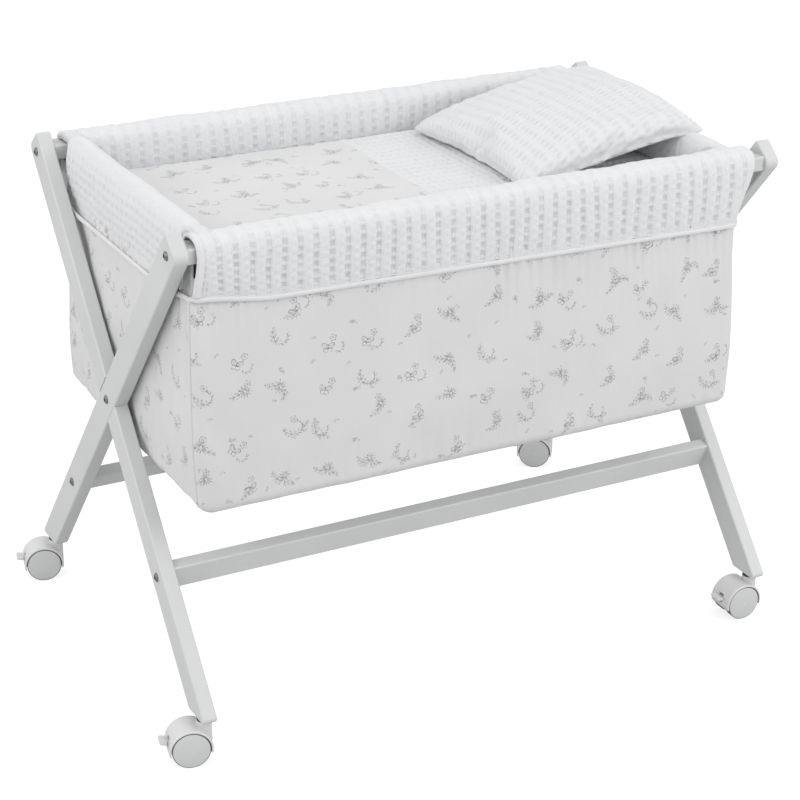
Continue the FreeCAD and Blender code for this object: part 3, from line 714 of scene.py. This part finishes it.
def basket_wall(side, seed):
    """One side's cloth, gathered under the rim and puckered above its lower edge."""
    points, normals = wall_run(side, 2.4 * MM)
    along = arc_lengths(points)
    stations = wall_stations(FRONT_TOP if side in ("front", "rear") else END_TOP)
    inset, height = stations.T
    down = arc_lengths(stations)
    u, v = np.meshgrid(along, down, indexing="ij")
    xy = points[:, None] - normals[:, None] * inset[None, :, None]
    grid = np.dstack([xy, np.broadcast_to(height, u.shape)])
    z = grid[..., 2]
    length = along[-1]
    fuller = 0.35 + 0.65 * ease(grid[..., 0], -0.15, 0.15)
    gather = ripple(u, v, 15 * MM, seed, 0.05, 9) * np.exp(-np.clip(0.6 - z, 0, 1) / (38 * MM))
    gather = gather * 5.0 * MM * fuller * (0.6 + 0.4 * ripple(u, v, 0.2, seed + 9, 0.1))
    billow = ripple(u, v, 0.17, seed + 3, 0.9) * 1.6 * MM * np.sin(math.pi * u / length)
    creases = ripple(u, v, 0.05, seed + 7, 0.35, 8) * 0.8 * MM
    up = z - BASKET_LOW
    pucker = ripple(u, v, 19 * MM, seed + 5, 0.06, 8) * 2.4 * MM * np.exp(-up / (30 * MM))
    pucker *= ease(up, 3 * MM, 20 * MM)
    edge = np.minimum(u, length - u)
    seam = 0.9 * MM * bell(edge - 4 * MM, 2.0 * MM) - 1.4 * MM * bell(edge, 1.5 * MM)
    settle = ease(edge, 0, 8 * MM)
    face = np.dstack([normals[:, None, 0] + 0 * u, normals[:, None, 1] + 0 * u, 0 * u])
    grid = grid + face * ((gather + billow + creases + pucker) * settle + seam)[..., None]
    grid = slack(grid)
    grid[..., :2] += MID.xy
    piece = mesh_piece("basket_%s_cloth" % side, grid, grid_faces(*u.shape, flip=True).tolist(),
                       np.dstack([u, -v]))
    thicken(piece, CLOTH)
    finish_piece(piece, "stand", PRINT, "printed_cotton", "basket_%s_panel" % side)


def basket_bottom():
    """The basket's flat floor, inside its rounded lower edges."""
    deep = float(wall_inset(BASKET_LOW + EDGE)) + EDGE
    loop = []
    for side in ("front", "right", "rear", "left"):
        points, normals = wall_run(side, 8 * MM)
        loop.append(points - normals * deep)
    loop = np.vstack(loop)
    centre = np.array([(LEFT_WALL + RIGHT_WALL) / 2, 0])
    shares = np.array([1.002, 0.97, 0.93, 0.86, 0.76, 0.65, 0.5, 0.35, 0.2, 0.08, 0.02])
    ring = centre + (loop[:, None] - centre) * shares[None, :, None]
    sag = BASKET_LOW + 0.4 * MM - 1.2 * MM * (1 - shares ** 2)
    grid = slack(np.dstack([ring, np.broadcast_to(sag, ring.shape[:2])]))
    grid[..., :2] += MID.xy
    faces = grid_faces(len(loop), len(shares), wrap=True, flip=True).tolist()
    close_ring(faces, len(loop), len(shares), len(shares) - 1, flip=True)
    piece = mesh_piece("basket_bottom_cloth", grid, faces, grid[..., :2])
    thicken(piece, CLOTH)
    finish_piece(piece, "stand", PRINT, "printed_cotton", "basket_bottom_panel")


# ---- rim

RIB, CELL = 21 * MM, 12 * MM
WOVEN = 3.2 * MM  # depth of the bands' weave
BAND_OUT = 0.2528  # distance of a rail band's hem from the middle


def hem_height(x):
    """The front and rear bands' lower edge, lower to the right and drawn up at the left end."""
    return 0.5975 - 0.019 * x + 0.011 * ease(-x, 0.30, 0.415)


def band_ends(z, side):
    """Left and right X of a rail band at a height: its ends slant towards the hem."""
    left = BAND_LEFT + (-3.5 if side < 0 else 5.0) * MM - 6 * MM * ease(-z, -0.67, -0.60)
    right = BAND_RIGHT - 1 * MM - 24 * MM * ease(-z, -0.680, -0.598)
    return left, right


def rim_cover(name, grid, uv, pits, thickness, flip):
    """The waffle cover of one side's band or roll."""
    faces = grid_faces(*pits.shape, flip=flip).tolist()
    piece = mesh_piece("rim_band_%s_cover" % name, grid, faces, uv)
    mark_pit_shade(piece, -pits)
    thicken(piece, thickness)
    finish_piece(piece, "stand", WAFFLE, "waffle_cotton", "rim_band_%s" % name)
    return piece


def rail_band(name, side, seed):
    """Cover of a rail: up the outside, over the rail and down the inside. Returns the lines
    that its two ends are bound along."""
    # distance out from the basket's middle, height, and share of the weave's depth
    outline = smooth_line([
        (0.2515, 0.5980, 0.8), (0.2533, 0.612, 1.0), (0.2546, 0.633, 1.0), (0.2543, 0.656, 1.0),
        (0.2528, 0.670, 0.85), (0.2475, 0.6815, 0.4), (0.2345, 0.6862, 0.25),
        (0.2175, 0.6850, 0.3), (0.2075, 0.6765, 0.4), (0.2040, 0.660, 0.6),
        (0.2032, 0.635, 0.6), (0.2046, 0.612, 0.5),
    ], 1.5 * MM, 2)
    out, z0, share = outline.T
    v = arc_lengths(outline[:, :2])
    left, right = band_ends(z0, side)
    t = np.linspace(0, 1, 520)
    x = left[None] + (right - left)[None] * t[:, None]
    stretch = np.clip((0.665 - z0) / 0.067, 0, 1)[None]
    z = z0[None] + (hem_height(x) - RIM) * stretch * (out > 0.22)[None]
    grid = np.dstack([x, np.broadcast_to(out, x.shape), z])
    normal = -grid_normals(grid)
    u, vv = x, np.broadcast_to(v, x.shape)
    end = np.minimum(x - left[None], right[None] - x)
    settle = ease(end, 1 * MM, 13 * MM)
    near_hem = np.minimum(vv, v[-1] - vv)
    lumps = ripple(u, vv, 0.12, seed, 0.7) * 1.0 * MM
    lumps = lumps + ripple(u, vv, 0.05, seed + 8, 0.6) * 0.4 * MM
    pulled = ripple(u, vv, 15 * MM, seed + 4, 0.05, 9) * 0.6 * MM * np.exp(-near_hem / (12 * MM))
    pits = ribbed_waffle(u, vv, RIB, CELL, seed) * share[None]
    pits = pits * (0.2 + 0.8 * settle) * ease(near_hem, 0, 5 * MM)
    grid = grid + normal * (pits * WOVEN + (lumps + pulled) * settle - 1.0 * MM)[..., None]
    grid[..., 1] *= side
    grid[..., :2] += MID.xy
    piece = rim_cover(name, grid, np.dstack([u, vv]), pits, 2.2 * MM, side < 0)
    lines = []
    for row, inward in ((0, 4.5 * MM), (-1, -4.5 * MM)):
        line = grid[row].copy()
        line[:, 0] += inward
        lines.append(line)
    return lines


def binding(name, side, lines):
    """Flat bias binding over a rail band's two ends."""
    # across the strip and out from the cloth, in mm
    section = [(-5.2, -3.0), (-6.0, -1.0), (-5.2, 0.9), (-3.4, 1.6), (-0.5, 1.9), (2.4, 1.8),
               (4.2, 1.2), (5.0, -0.6), (5.6, -0.6), (6.4, 1.2), (7.8, 1.4), (9.2, 0.9),
               (9.8, -1.6)]
    columns = len(section)
    points, faces, uvs, start = [], [], [], 0
    for number, line in enumerate(lines):
        inner = 1 if number == 0 else -1
        line = smooth_line(line[::5], 2.4 * MM)
        along = np.gradient(line, axis=0)
        along /= np.linalg.norm(along, axis=1, keepdims=True)
        across = np.tile([1.0, 0.0, 0.0], (len(line), 1))
        out = np.cross(along, across)
        if np.mean(out[: len(out) // 3, 1] * side) < 0:
            out = -out
        ring = np.stack([line + across * a * inner * MM + out * b * MM for a, b in section], 1)
        flip = (side < 0) == (inner > 0)
        faces += grid_faces(len(line), columns, offset=start, flip=flip).tolist()
        points.append(ring.reshape(-1, 3))
        width = [a * MM for a, _ in section]
        uv = np.stack(np.meshgrid(arc_lengths(line), width, indexing="ij"), -1)
        uvs.append(uv.reshape(-1, 2))
        start += len(line) * columns
    piece = mesh_piece("rim_band_%s_binding" % name, np.vstack(points), faces, np.vstack(uvs))
    thicken(piece, 1.0 * MM)
    finish_piece(piece, "stand", BINDING, "plain_cotton")


def end_roll(name, side, seed):
    """Padded roll across an end. Its own ends pass over the rails. side is -1 left, 1 right."""
    outer = -ROLL_LEFT if side < 0 else ROLL_RIGHT
    # distance out from the roll's outer face and height, in mm, and share of the weave's depth
    roll = np.array([
        (-3.5, 597.5, 0.9), (-1.2, 611, 1.0), (0.8, 634, 1.0), (0.6, 656, 1.0), (-2.6, 674, 0.75),
        (-10.0, 686.5, 0.3), (-20.5, 690.4, 0.15), (-31.0, 687.0, 0.15), (-38.0, 675.5, 0.3),
        (-40.5, 655, 0.5), (-40.0, 630, 0.5), (-38.0, 611, 0.5),
    ])
    over_rail = np.array([
        (-9.5, 678.5), (-9.0, 679.5), (-8.6, 681), (-8.8, 683), (-10.0, 685.4),
        (-14.5, 687.8), (-21.0, 688.8), (-28.0, 687.9), (-33.5, 685.6),
        (-35.6, 683), (-36.0, 680.5), (-36.0, 678.5),
    ])
    scale = np.array([MM, MM, 1])
    fine = smooth_line(roll * scale, 1.9 * MM, 2)
    v = arc_lengths(fine[:, :2])
    turns = np.linspace(0, 1, len(fine))
    reach = arc_lengths(roll[:, :2] * MM)
    knots = np.interp(reach / reach[-1], v / v[-1], turns)
    cap = sampled(turns, knots, over_rail * MM)
    half, plain = 0.2455, 0.18
    y = np.concatenate([np.linspace(-half, -plain, 52)[:-1], np.linspace(-plain, plain, 200),
                        np.linspace(plain, half, 52)[1:]])
    u, vv = np.meshgrid(y, v, indexing="ij")
    over = ease(np.abs(u), 0.187, 0.2035)
    x = fine[None, :, 0] * (1 - over) + cap[None, :, 0] * over
    z = fine[None, :, 1] * (1 - over) + cap[None, :, 1] * over
    drop = ease(np.abs(u), 0.226, half)
    z = z - drop * 3.6 * MM
    grid = np.dstack([outer + x, u, z])
    normal = grid_normals(grid)
    facing = (normal * np.dstack([x + 20 * MM, 0 * x, z - 0.645])).sum(-1)
    if facing.mean() < 0:
        normal = -normal
    pits = small_waffle(u * 0.85, vv, 14 * MM, seed) * fine[None, :, 2] * (1 - over)
    seam = -1.8 * MM * bell(u + 0.143, 1.4 * MM) * ease(-z, -0.682, -0.672)
    lumps = ripple(u, vv, 0.15, seed, 0.6) * 1.2 * MM
    lumps = lumps + ripple(u, vv, 0.05, seed + 3, 0.8) * 0.4 * MM
    drawn = ripple(vv, u, 22 * MM, seed + 6, 0.1, 8) * 0.9 * MM * bell(np.abs(u) - 0.195, 9 * MM)
    relief = (pits * 2.0 * MM + seam + lumps + drawn) * (1 - 0.75 * over)
    grid = grid + normal * relief[..., None]
    grid[..., 0] *= side
    grid[..., :2] += MID.xy
    piece = rim_cover(name, grid, np.dstack([u, vv]), pits, 2.0 * MM, side < 0)


def piping():
    """White piping sewn along the lower edge of the bands, all round."""
    lines = []
    x = np.linspace(LEFT_WALL + 12 * MM, RIGHT_WALL - 24 * MM, 220)
    rows = [(a, BAND_OUT, hem_height(a) - 2.5 * MM) for a in x]
    reach = 14 * MM
    ends = []
    for way, corner in ((-1, rows[0]), (1, rows[-1])):
        ends.append([(corner[0] + way * reach * math.sin(a), BAND_OUT - reach * (1 - math.cos(a)),
                      corner[2] + way * MM * a) for a in np.linspace(0, math.pi / 2, 9)[1:]])
    for side in (-1, 1):
        line = np.array(ends[0][::-1] + rows + ends[1])
        line[:, 1] *= side
        lines.append(line + np.array([MID.x, MID.y, 0]))
    half = 0.2385
    # each end's wall, the piping's place along X from it, and its rise towards the corners
    for wall, shift, rise in ((LEFT_WALL, -2.2 * MM, 13 * MM), (RIGHT_WALL, -7.0 * MM, -5 * MM)):
        y = np.linspace(-half, half, 130)
        z = 0.5955 + ease(np.abs(y), 0.14, half) * rise
        x = np.full_like(y, wall + shift)
        lines.append(np.stack([x + MID.x, y + MID.y, z], 1))
    piece = tubes("rim_piping_cord", lines, 2.0 * MM, 3.5 * MM, 12)
    finish_piece(piece, "stand", BINDING, "plain_cotton", "rim_piping")


# ---- bedding


def cushion_loft(name, low, high, radius, rounding, step):
    """A soft block: rounded corners seen from above, rounded upper and lower edges. Returns
    the piece and its outline seen from above."""
    centre = (low + high) / 2
    hx, hy = (high.x - low.x) / 2, (high.y - low.y) / 2
    loop, normals = [], []
    for i, (sx, sy) in enumerate([(1, 1), (-1, 1), (-1, -1), (1, -1)]):
        start = math.pi / 2 * i
        for a in np.linspace(start, start + math.pi / 2, 9):
            n = np.array([math.cos(a), math.sin(a)])
            loop.append(np.array([sx * (hx - radius), sy * (hy - radius)]) + n * radius)
            normals.append(n)
    loop.append(loop[0])
    normals.append(normals[0])
    loop, normals = np.array(loop), np.array(normals)
    length = arc_lengths(loop)
    at = np.linspace(0, length[-1], round(length[-1] / step), endpoint=False)
    loop, normals = sampled(at, length, loop), sampled(at, length, normals)
    bend = np.linspace(0, math.pi / 2, 8)
    inset = rounding * (1 - np.cos(bend))
    drop = rounding * (1 - np.sin(bend))
    between = np.linspace(0, 1, 12)[1:-1]
    upright = high.z - rounding + (low.z + 2 * rounding - high.z) * between
    inset = np.concatenate([inset[::-1], 0 * between, inset])
    height = np.concatenate([high.z - drop[::-1], upright, low.z + drop])
    ring = loop[:, None] - normals[:, None] * inset[None, :, None]
    inner = np.array([0.9, 0.75, 0.6, 0.45, 0.3, 0.15, 0.03])
    top = ring[:, :1] * inner[None, ::-1, None]
    bottom = ring[:, -1:] * inner[None, :, None]
    ring = np.concatenate([top, ring, bottom], 1)
    height = np.pad(height, len(inner), mode="edge")
    grid = np.dstack([ring + np.array(centre.xy), np.broadcast_to(height, ring.shape[:2])])
    count = ring.shape[1]
    faces = grid_faces(len(loop), count, wrap=True, flip=True).tolist()
    close_ring(faces, len(loop), count, 0)
    close_ring(faces, len(loop), count, count - 1, flip=True)
    uv = np.dstack([grid[..., 0] + grid[..., 2], grid[..., 1] + grid[..., 2] * 0.5])
    return mesh_piece(name, grid, faces, uv), loop + np.array(centre.xy)


def mattress():
    """A foam block in a plain cover, with an edging at its top and bottom."""
    low, high = mattress_low, mattress_high
    piece, loop = cushion_loft("mattress_pad", low, high, 14 * MM, 9 * MM, 12 * MM)
    finish_piece(piece, "mattress", PLAIN, "plain_cotton", "mattress")
    closed = np.vstack([loop, loop[:1]])
    lines = [np.column_stack([closed, np.full(len(closed), z)])
             for z in (high.z - 4 * MM, low.z + 4 * MM)]
    edging = tubes("mattress_edging", lines, 2.0 * MM, 2.0 * MM, 8)
    finish_piece(edging, "mattress", BINDING, "plain_cotton")


def quilt():
    """A quilt that fills the rim: printed at the foot, waffle towards the pillow."""
    low, high = quilt_low, quilt_high
    hx, hy = (high.x - low.x) / 2, (high.y - low.y) / 2
    cx, cy = (high.x + low.x) / 2, (high.y + low.y) / 2
    nx, ny = 400, 220
    x, y = np.meshgrid(np.linspace(-1, 1, nx), np.linspace(-1, 1, ny), indexing="ij")
    u, v = x * hx, y * hy
    seam_x = -6 * MM + MID.x - cx
    edge = np.minimum(hx - np.abs(u), hy - np.abs(v))
    fall = np.clip(1 - edge / (30 * MM), 0, 1)
    rolled = fall ** 2.2 * 17 * MM
    top = high.z - 1 * MM - rolled
    top = top + ripple(u, v, 0.13, 21, 1.0) * 1.5 * MM * (1 - fall)
    top = top + ripple(u, v, 0.045, 25, 1.0) * 0.35 * MM
    pits = small_waffle(v * 0.72, u, 12 * MM, 5) * ease(u, seam_x + 3 * MM, seam_x + 7 * MM)
    seam = -1.4 * MM * bell(u - seam_x, 1.6 * MM)
    welt = 1.0 * MM * bell(u - seam_x - 6 * MM, 5 * MM)
    upper = np.dstack([u + cx, v + cy, top + pits * 1.9 * MM + seam + welt])
    bottom_z = low.z + 0.5 * MM + fall ** 3 * 9 * MM
    lower = np.dstack([u + cx, v + cy, np.minimum(bottom_z, upper[..., 2] - 2 * MM)])
    points = np.concatenate([upper.reshape(-1, 3), lower.reshape(-1, 3)])
    # the print runs on down the sides without stretching
    at_end = hx - np.abs(u) < hy - np.abs(v)
    uv = []
    for extra in (rolled, rolled + (upper[..., 2] - lower[..., 2]) * fall):
        side_u = u + np.sign(u) * extra * at_end
        side_v = v + np.sign(v) * extra * ~at_end
        uv.append(np.dstack([side_u, side_v]).reshape(-1, 2))
    count = nx * ny
    faces = grid_faces(nx, ny).tolist() + grid_faces(nx, ny, offset=count, flip=True).tolist()
    border = ([i * ny for i in range(nx)] + [(nx - 1) * ny + j for j in range(1, ny)]
              + [i * ny + ny - 1 for i in range(nx - 2, -1, -1)] + list(range(ny - 2, 0, -1)))
    for a, b in zip(border, border[1:] + border[:1]):
        faces.append([a, a + count, b + count, b])
    piece = mesh_piece("quilt_cover", points, faces, np.concatenate(uv))
    mark_pit_shade(piece, np.concatenate([-pits.ravel(), 0 * pits.ravel()]))
    finish_piece(piece, "quilt", [PRINT, WAFFLE], "printed_cotton", "quilt")
    polygons = piece.data.polygons
    waffle_side = read(polygons, "center", 3, float)[:, 0] - cx > seam_x
    polygons.foreach_set("material_index", waffle_side.astype(np.int32))


def settle_cloth(piece, pressure, cap, frames):
    """Lets cloth swell under pressure, with no gravity, and keeps the shape that it takes."""
    mesh = piece.data
    start = read(mesh.vertices, "co", 3)
    modifier = piece.modifiers.new("Cloth", "CLOTH")
    settings = modifier.settings
    for key, value in {
        "quality": 6, "mass": 0.2, "air_damping": 4,
        "tension_stiffness": 25, "compression_stiffness": 12,
        "shear_stiffness": 8, "bending_stiffness": 0.35,
        "use_pressure": True, "uniform_pressure_force": pressure,
    }.items():
        setattr(settings, key, value)
    settings.effector_weights.gravity = 0
    modifier.point_cache.frame_start = 1
    modifier.point_cache.frame_end = frames
    scene = bpy.context.scene
    for number in range(1, frames + 1):
        scene.frame_set(number)
    evaluated = piece.evaluated_get(bpy.context.evaluated_depsgraph_get())
    moved = read(evaluated.data.vertices, "co", 3) - start
    piece.modifiers.remove(modifier)
    scene.frame_set(1)
    far = np.linalg.norm(moved, axis=1, keepdims=True)
    moved *= np.minimum(1, cap / np.maximum(far, 1e-9))
    mesh.vertices.foreach_set("co", (start + moved).ravel())
    mesh.update()


def subdivided(piece):
    """Applies one smooth subdivision to a piece's mesh, and returns the mesh."""
    modifier = piece.modifiers.new("Smooth", "SUBSURF")
    modifier.levels = 1
    evaluated = piece.evaluated_get(bpy.context.evaluated_depsgraph_get())
    mesh = bpy.data.meshes.new_from_object(evaluated)
    piece.modifiers.remove(modifier)
    piece.data = mesh
    return mesh


PILLOW_X, PILLOW_Y = 0.302, 0.314
PILLOW_TILT = math.radians(10.5)
PILLOW_Z = 0.671  # height of its middle
PILLOW_PITCH = 9.9 * MM  # between its rows of cells


def square_faces(index):
    """Quads between neighbouring points, from a grid of the points' numbers."""
    corners = [index[:-1, :-1], index[1:, :-1], index[1:, 1:], index[:-1, 1:]]
    return np.stack(corners, -1).reshape(-1, 4)


def pillow_squares():
    """Two squares that share their edges, slightly apart in the middle."""
    n = 84
    t = np.linspace(-1, 1, n)
    x, y = np.meshgrid(t * PILLOW_X / 2, t * PILLOW_Y / 2, indexing="ij")
    inside = (1 - (x / (PILLOW_X / 2)) ** 2) * (1 - (y / (PILLOW_Y / 2)) ** 2)
    rise = 16 * MM * np.clip(inside, 0, 1) ** 0.5
    upper = np.dstack([x, y, rise]).reshape(-1, 3)
    lower = np.dstack([x, y, -rise])[1:-1, 1:-1].reshape(-1, 3)
    index = np.arange(n * n).reshape(n, n)
    below = index.copy()
    below[1:-1, 1:-1] = n * n + np.arange(len(lower)).reshape(n - 2, n - 2)
    points = np.concatenate([upper, lower])
    faces = square_faces(index).tolist() + square_faces(below)[:, ::-1].tolist()
    return mesh_piece("pillow_cushion", points, faces, points[:, :2])


def pillow():
    """Two waffle squares sewn at their edges and stuffed, leaning on the right end's roll."""
    piece = pillow_squares()
    settle_cloth(piece, pressure=5.0, cap=30 * MM, frames=26)
    mesh = subdivided(piece)
    co = read(mesh.vertices, "co", 3).astype(float)
    normal = read(mesh.vertex_normals, "vector", 3)
    uv = np.zeros((len(mesh.vertices), 2))
    uv[read(mesh.loops, "vertex_index", 1, np.int64)] = read(mesh.uv_layers[0].data, "uv", 2)
    border = np.minimum(PILLOW_X / 2 - np.abs(uv[:, 0]), PILLOW_Y / 2 - np.abs(uv[:, 1]))
    slanted = uv[:, 1] - 0.35 * uv[:, 0]
    cells = hollow(wrapped(slanted, PILLOW_PITCH), 1.0 * MM, 4.4 * MM)
    pits = ribbed_waffle(uv[:, 0], slanted, 20 * MM, PILLOW_PITCH, 8)
    pits = (pits * (0.25 + 0.75 * cells) - 0.4 * cells) * ease(border, 2 * MM, 8 * MM)
    cords = 0.16 * hollow(wrapped(uv[:, 0], RIB / 5), 0, 1.9 * MM)
    fuller = 5 * MM * ease(border, 0, 9 * MM) * (1 - ease(border, 14 * MM, 60 * MM))
    co += normal * ((pits + cords) * 1.5 * MM + fuller)[:, None]
    mark_pit_shade(piece, -pits * 0.55)
    # its underside is flatter, pressed by its own weight
    co[:, 2] = np.where(co[:, 2] < 0, co[:, 2] * 0.4, co[:, 2])
    # its front right corner hangs a little, past the end roll
    hang = ease(co[:, 0], 0.08, 0.15) * ease(-co[:, 1], 0.05, 0.15)
    co += hang[:, None] * np.array([-12 * MM, -8 * MM, -4 * MM])
    # tilted along X, with its underside flattened where it meets the quilt
    turn = np.array(Matrix.Rotation(-PILLOW_TILT, 3, "Y"))
    co = co @ turn.T
    centre = (pillow_low + pillow_high) / 2
    co += np.array([centre.x, centre.y, PILLOW_Z])
    rest_z = quilt_high.z + 0.5 * MM
    sunk = np.clip(rest_z + 6 * MM - co[:, 2], 0, 1)
    co[:, 2] += sunk ** 2 / (sunk + 6 * MM)
    co[:, 2] = np.maximum(co[:, 2], rest_z)
    mesh.vertices.foreach_set("co", co.ravel())
    mesh.update()
    finish_piece(piece, "pillow", WAFFLE, "waffle_cotton", "pillow")


# ---- studio


def studio():
    """A white light tent, with a softbox at the front right and one at the left."""
    scene = bpy.context.scene
    scene.view_settings.view_transform = "Standard"
    scene.view_settings.look = "None"
    world = bpy.data.worlds.new("studio")
    scene.world = world
    world.use_nodes = True
    tree = world.node_tree
    background = tree.nodes["Background"]
    seen = tree.nodes.new("ShaderNodeLightPath")
    strength = tree.nodes.new("ShaderNodeMapRange")
    strength.inputs["To Min"].default_value = 1.0
    strength.inputs["To Max"].default_value = 1.05
    tree.links.new(seen.outputs["Is Camera Ray"], strength.inputs["Value"])
    tree.links.new(strength.outputs["Result"], background.inputs["Strength"])
    background.inputs["Color"].default_value = (1, 1, 1, 1)

    bpy.ops.mesh.primitive_plane_add(size=40, location=(0, 0, 0))
    floor = bpy.context.object
    floor.name = "studio_floor"
    pale = Material("studio_paper", (0.9, 0.9, 0.9), 0.9)
    seen = Field(pale.tree, pale.node("ShaderNodeLightPath").outputs["Is Camera Ray"])
    mottled = pale.noise(pale.place("Object"), 3.0, 3.0) * 0.02
    pale.paint(pale.colour(seen + mottled, (0.56, 0.56, 0.56), (0.34, 0.34, 0.34)))
    glow = seen * 0.76
    pale.link(glow.socket, pale.shader.inputs["Emission Strength"])
    pale.shader.inputs["Emission Color"].default_value = (1, 1, 1, 1)
    floor.data.materials.append(pale.material)

    def softbox(name, place, target, size, power):
        light = bpy.data.lights.new(name, "AREA")
        light.shape = "SQUARE"
        light.size = size
        light.energy = power
        obj = bpy.data.objects.new(name, light)
        scene.collection.objects.link(obj)
        obj.location = place
        obj.rotation_euler = (Vector(target) - Vector(place)).to_track_quat("-Z", "Y").to_euler()

    softbox("key", (1.5, -2.8, 2.0), (0, 0, 0.45), 1.2, 24)
    softbox("fill", (-2.7, -0.3, 1.9), (0, 0, 0.5), 1.8, 17)


def camera():
    """From the front left, above the rim, at the reference view's angle."""
    yaw, pitch, roll = (math.radians(a) for a in (28.25, 23.78, 0.69))
    flat_ahead = Vector((math.sin(yaw), math.cos(yaw), 0))
    ahead = flat_ahead * math.cos(pitch) - Vector((0, 0, math.sin(pitch)))
    level = Vector((math.cos(yaw), -math.sin(yaw), 0))
    upright = level.cross(ahead)
    right = level * math.cos(roll) + upright * math.sin(roll)
    up = upright * math.cos(roll) - level * math.sin(roll)
    data = bpy.data.cameras.new("camera")
    data.lens = 96.07
    data.sensor_width = 36
    data.clip_end = 100
    obj = bpy.data.objects.new("camera", data)
    bpy.context.scene.collection.objects.link(obj)
    place = MID + Vector((-1.3045, -2.4284, 1.5207))
    turn = Matrix((right, up, -ahead)).transposed().to_4x4()
    obj.matrix_world = Matrix.Translation(place) @ turn
    bpy.context.scene.camera = obj


# ---- the whole scene

dress_frame()
for number, wall_side in enumerate(("front", "right", "rear", "left")):
    basket_wall(wall_side, 11 + 10 * number)
basket_bottom()
for band_name, band_side, band_seed in (("front", -1, 3), ("rear", 1, 13)):
    binding(band_name, band_side, rail_band(band_name, band_side, band_seed))
end_roll("left", -1, 41)
end_roll("right", 1, 47)
piping()
mattress()
quilt()
pillow()
studio()
camera()
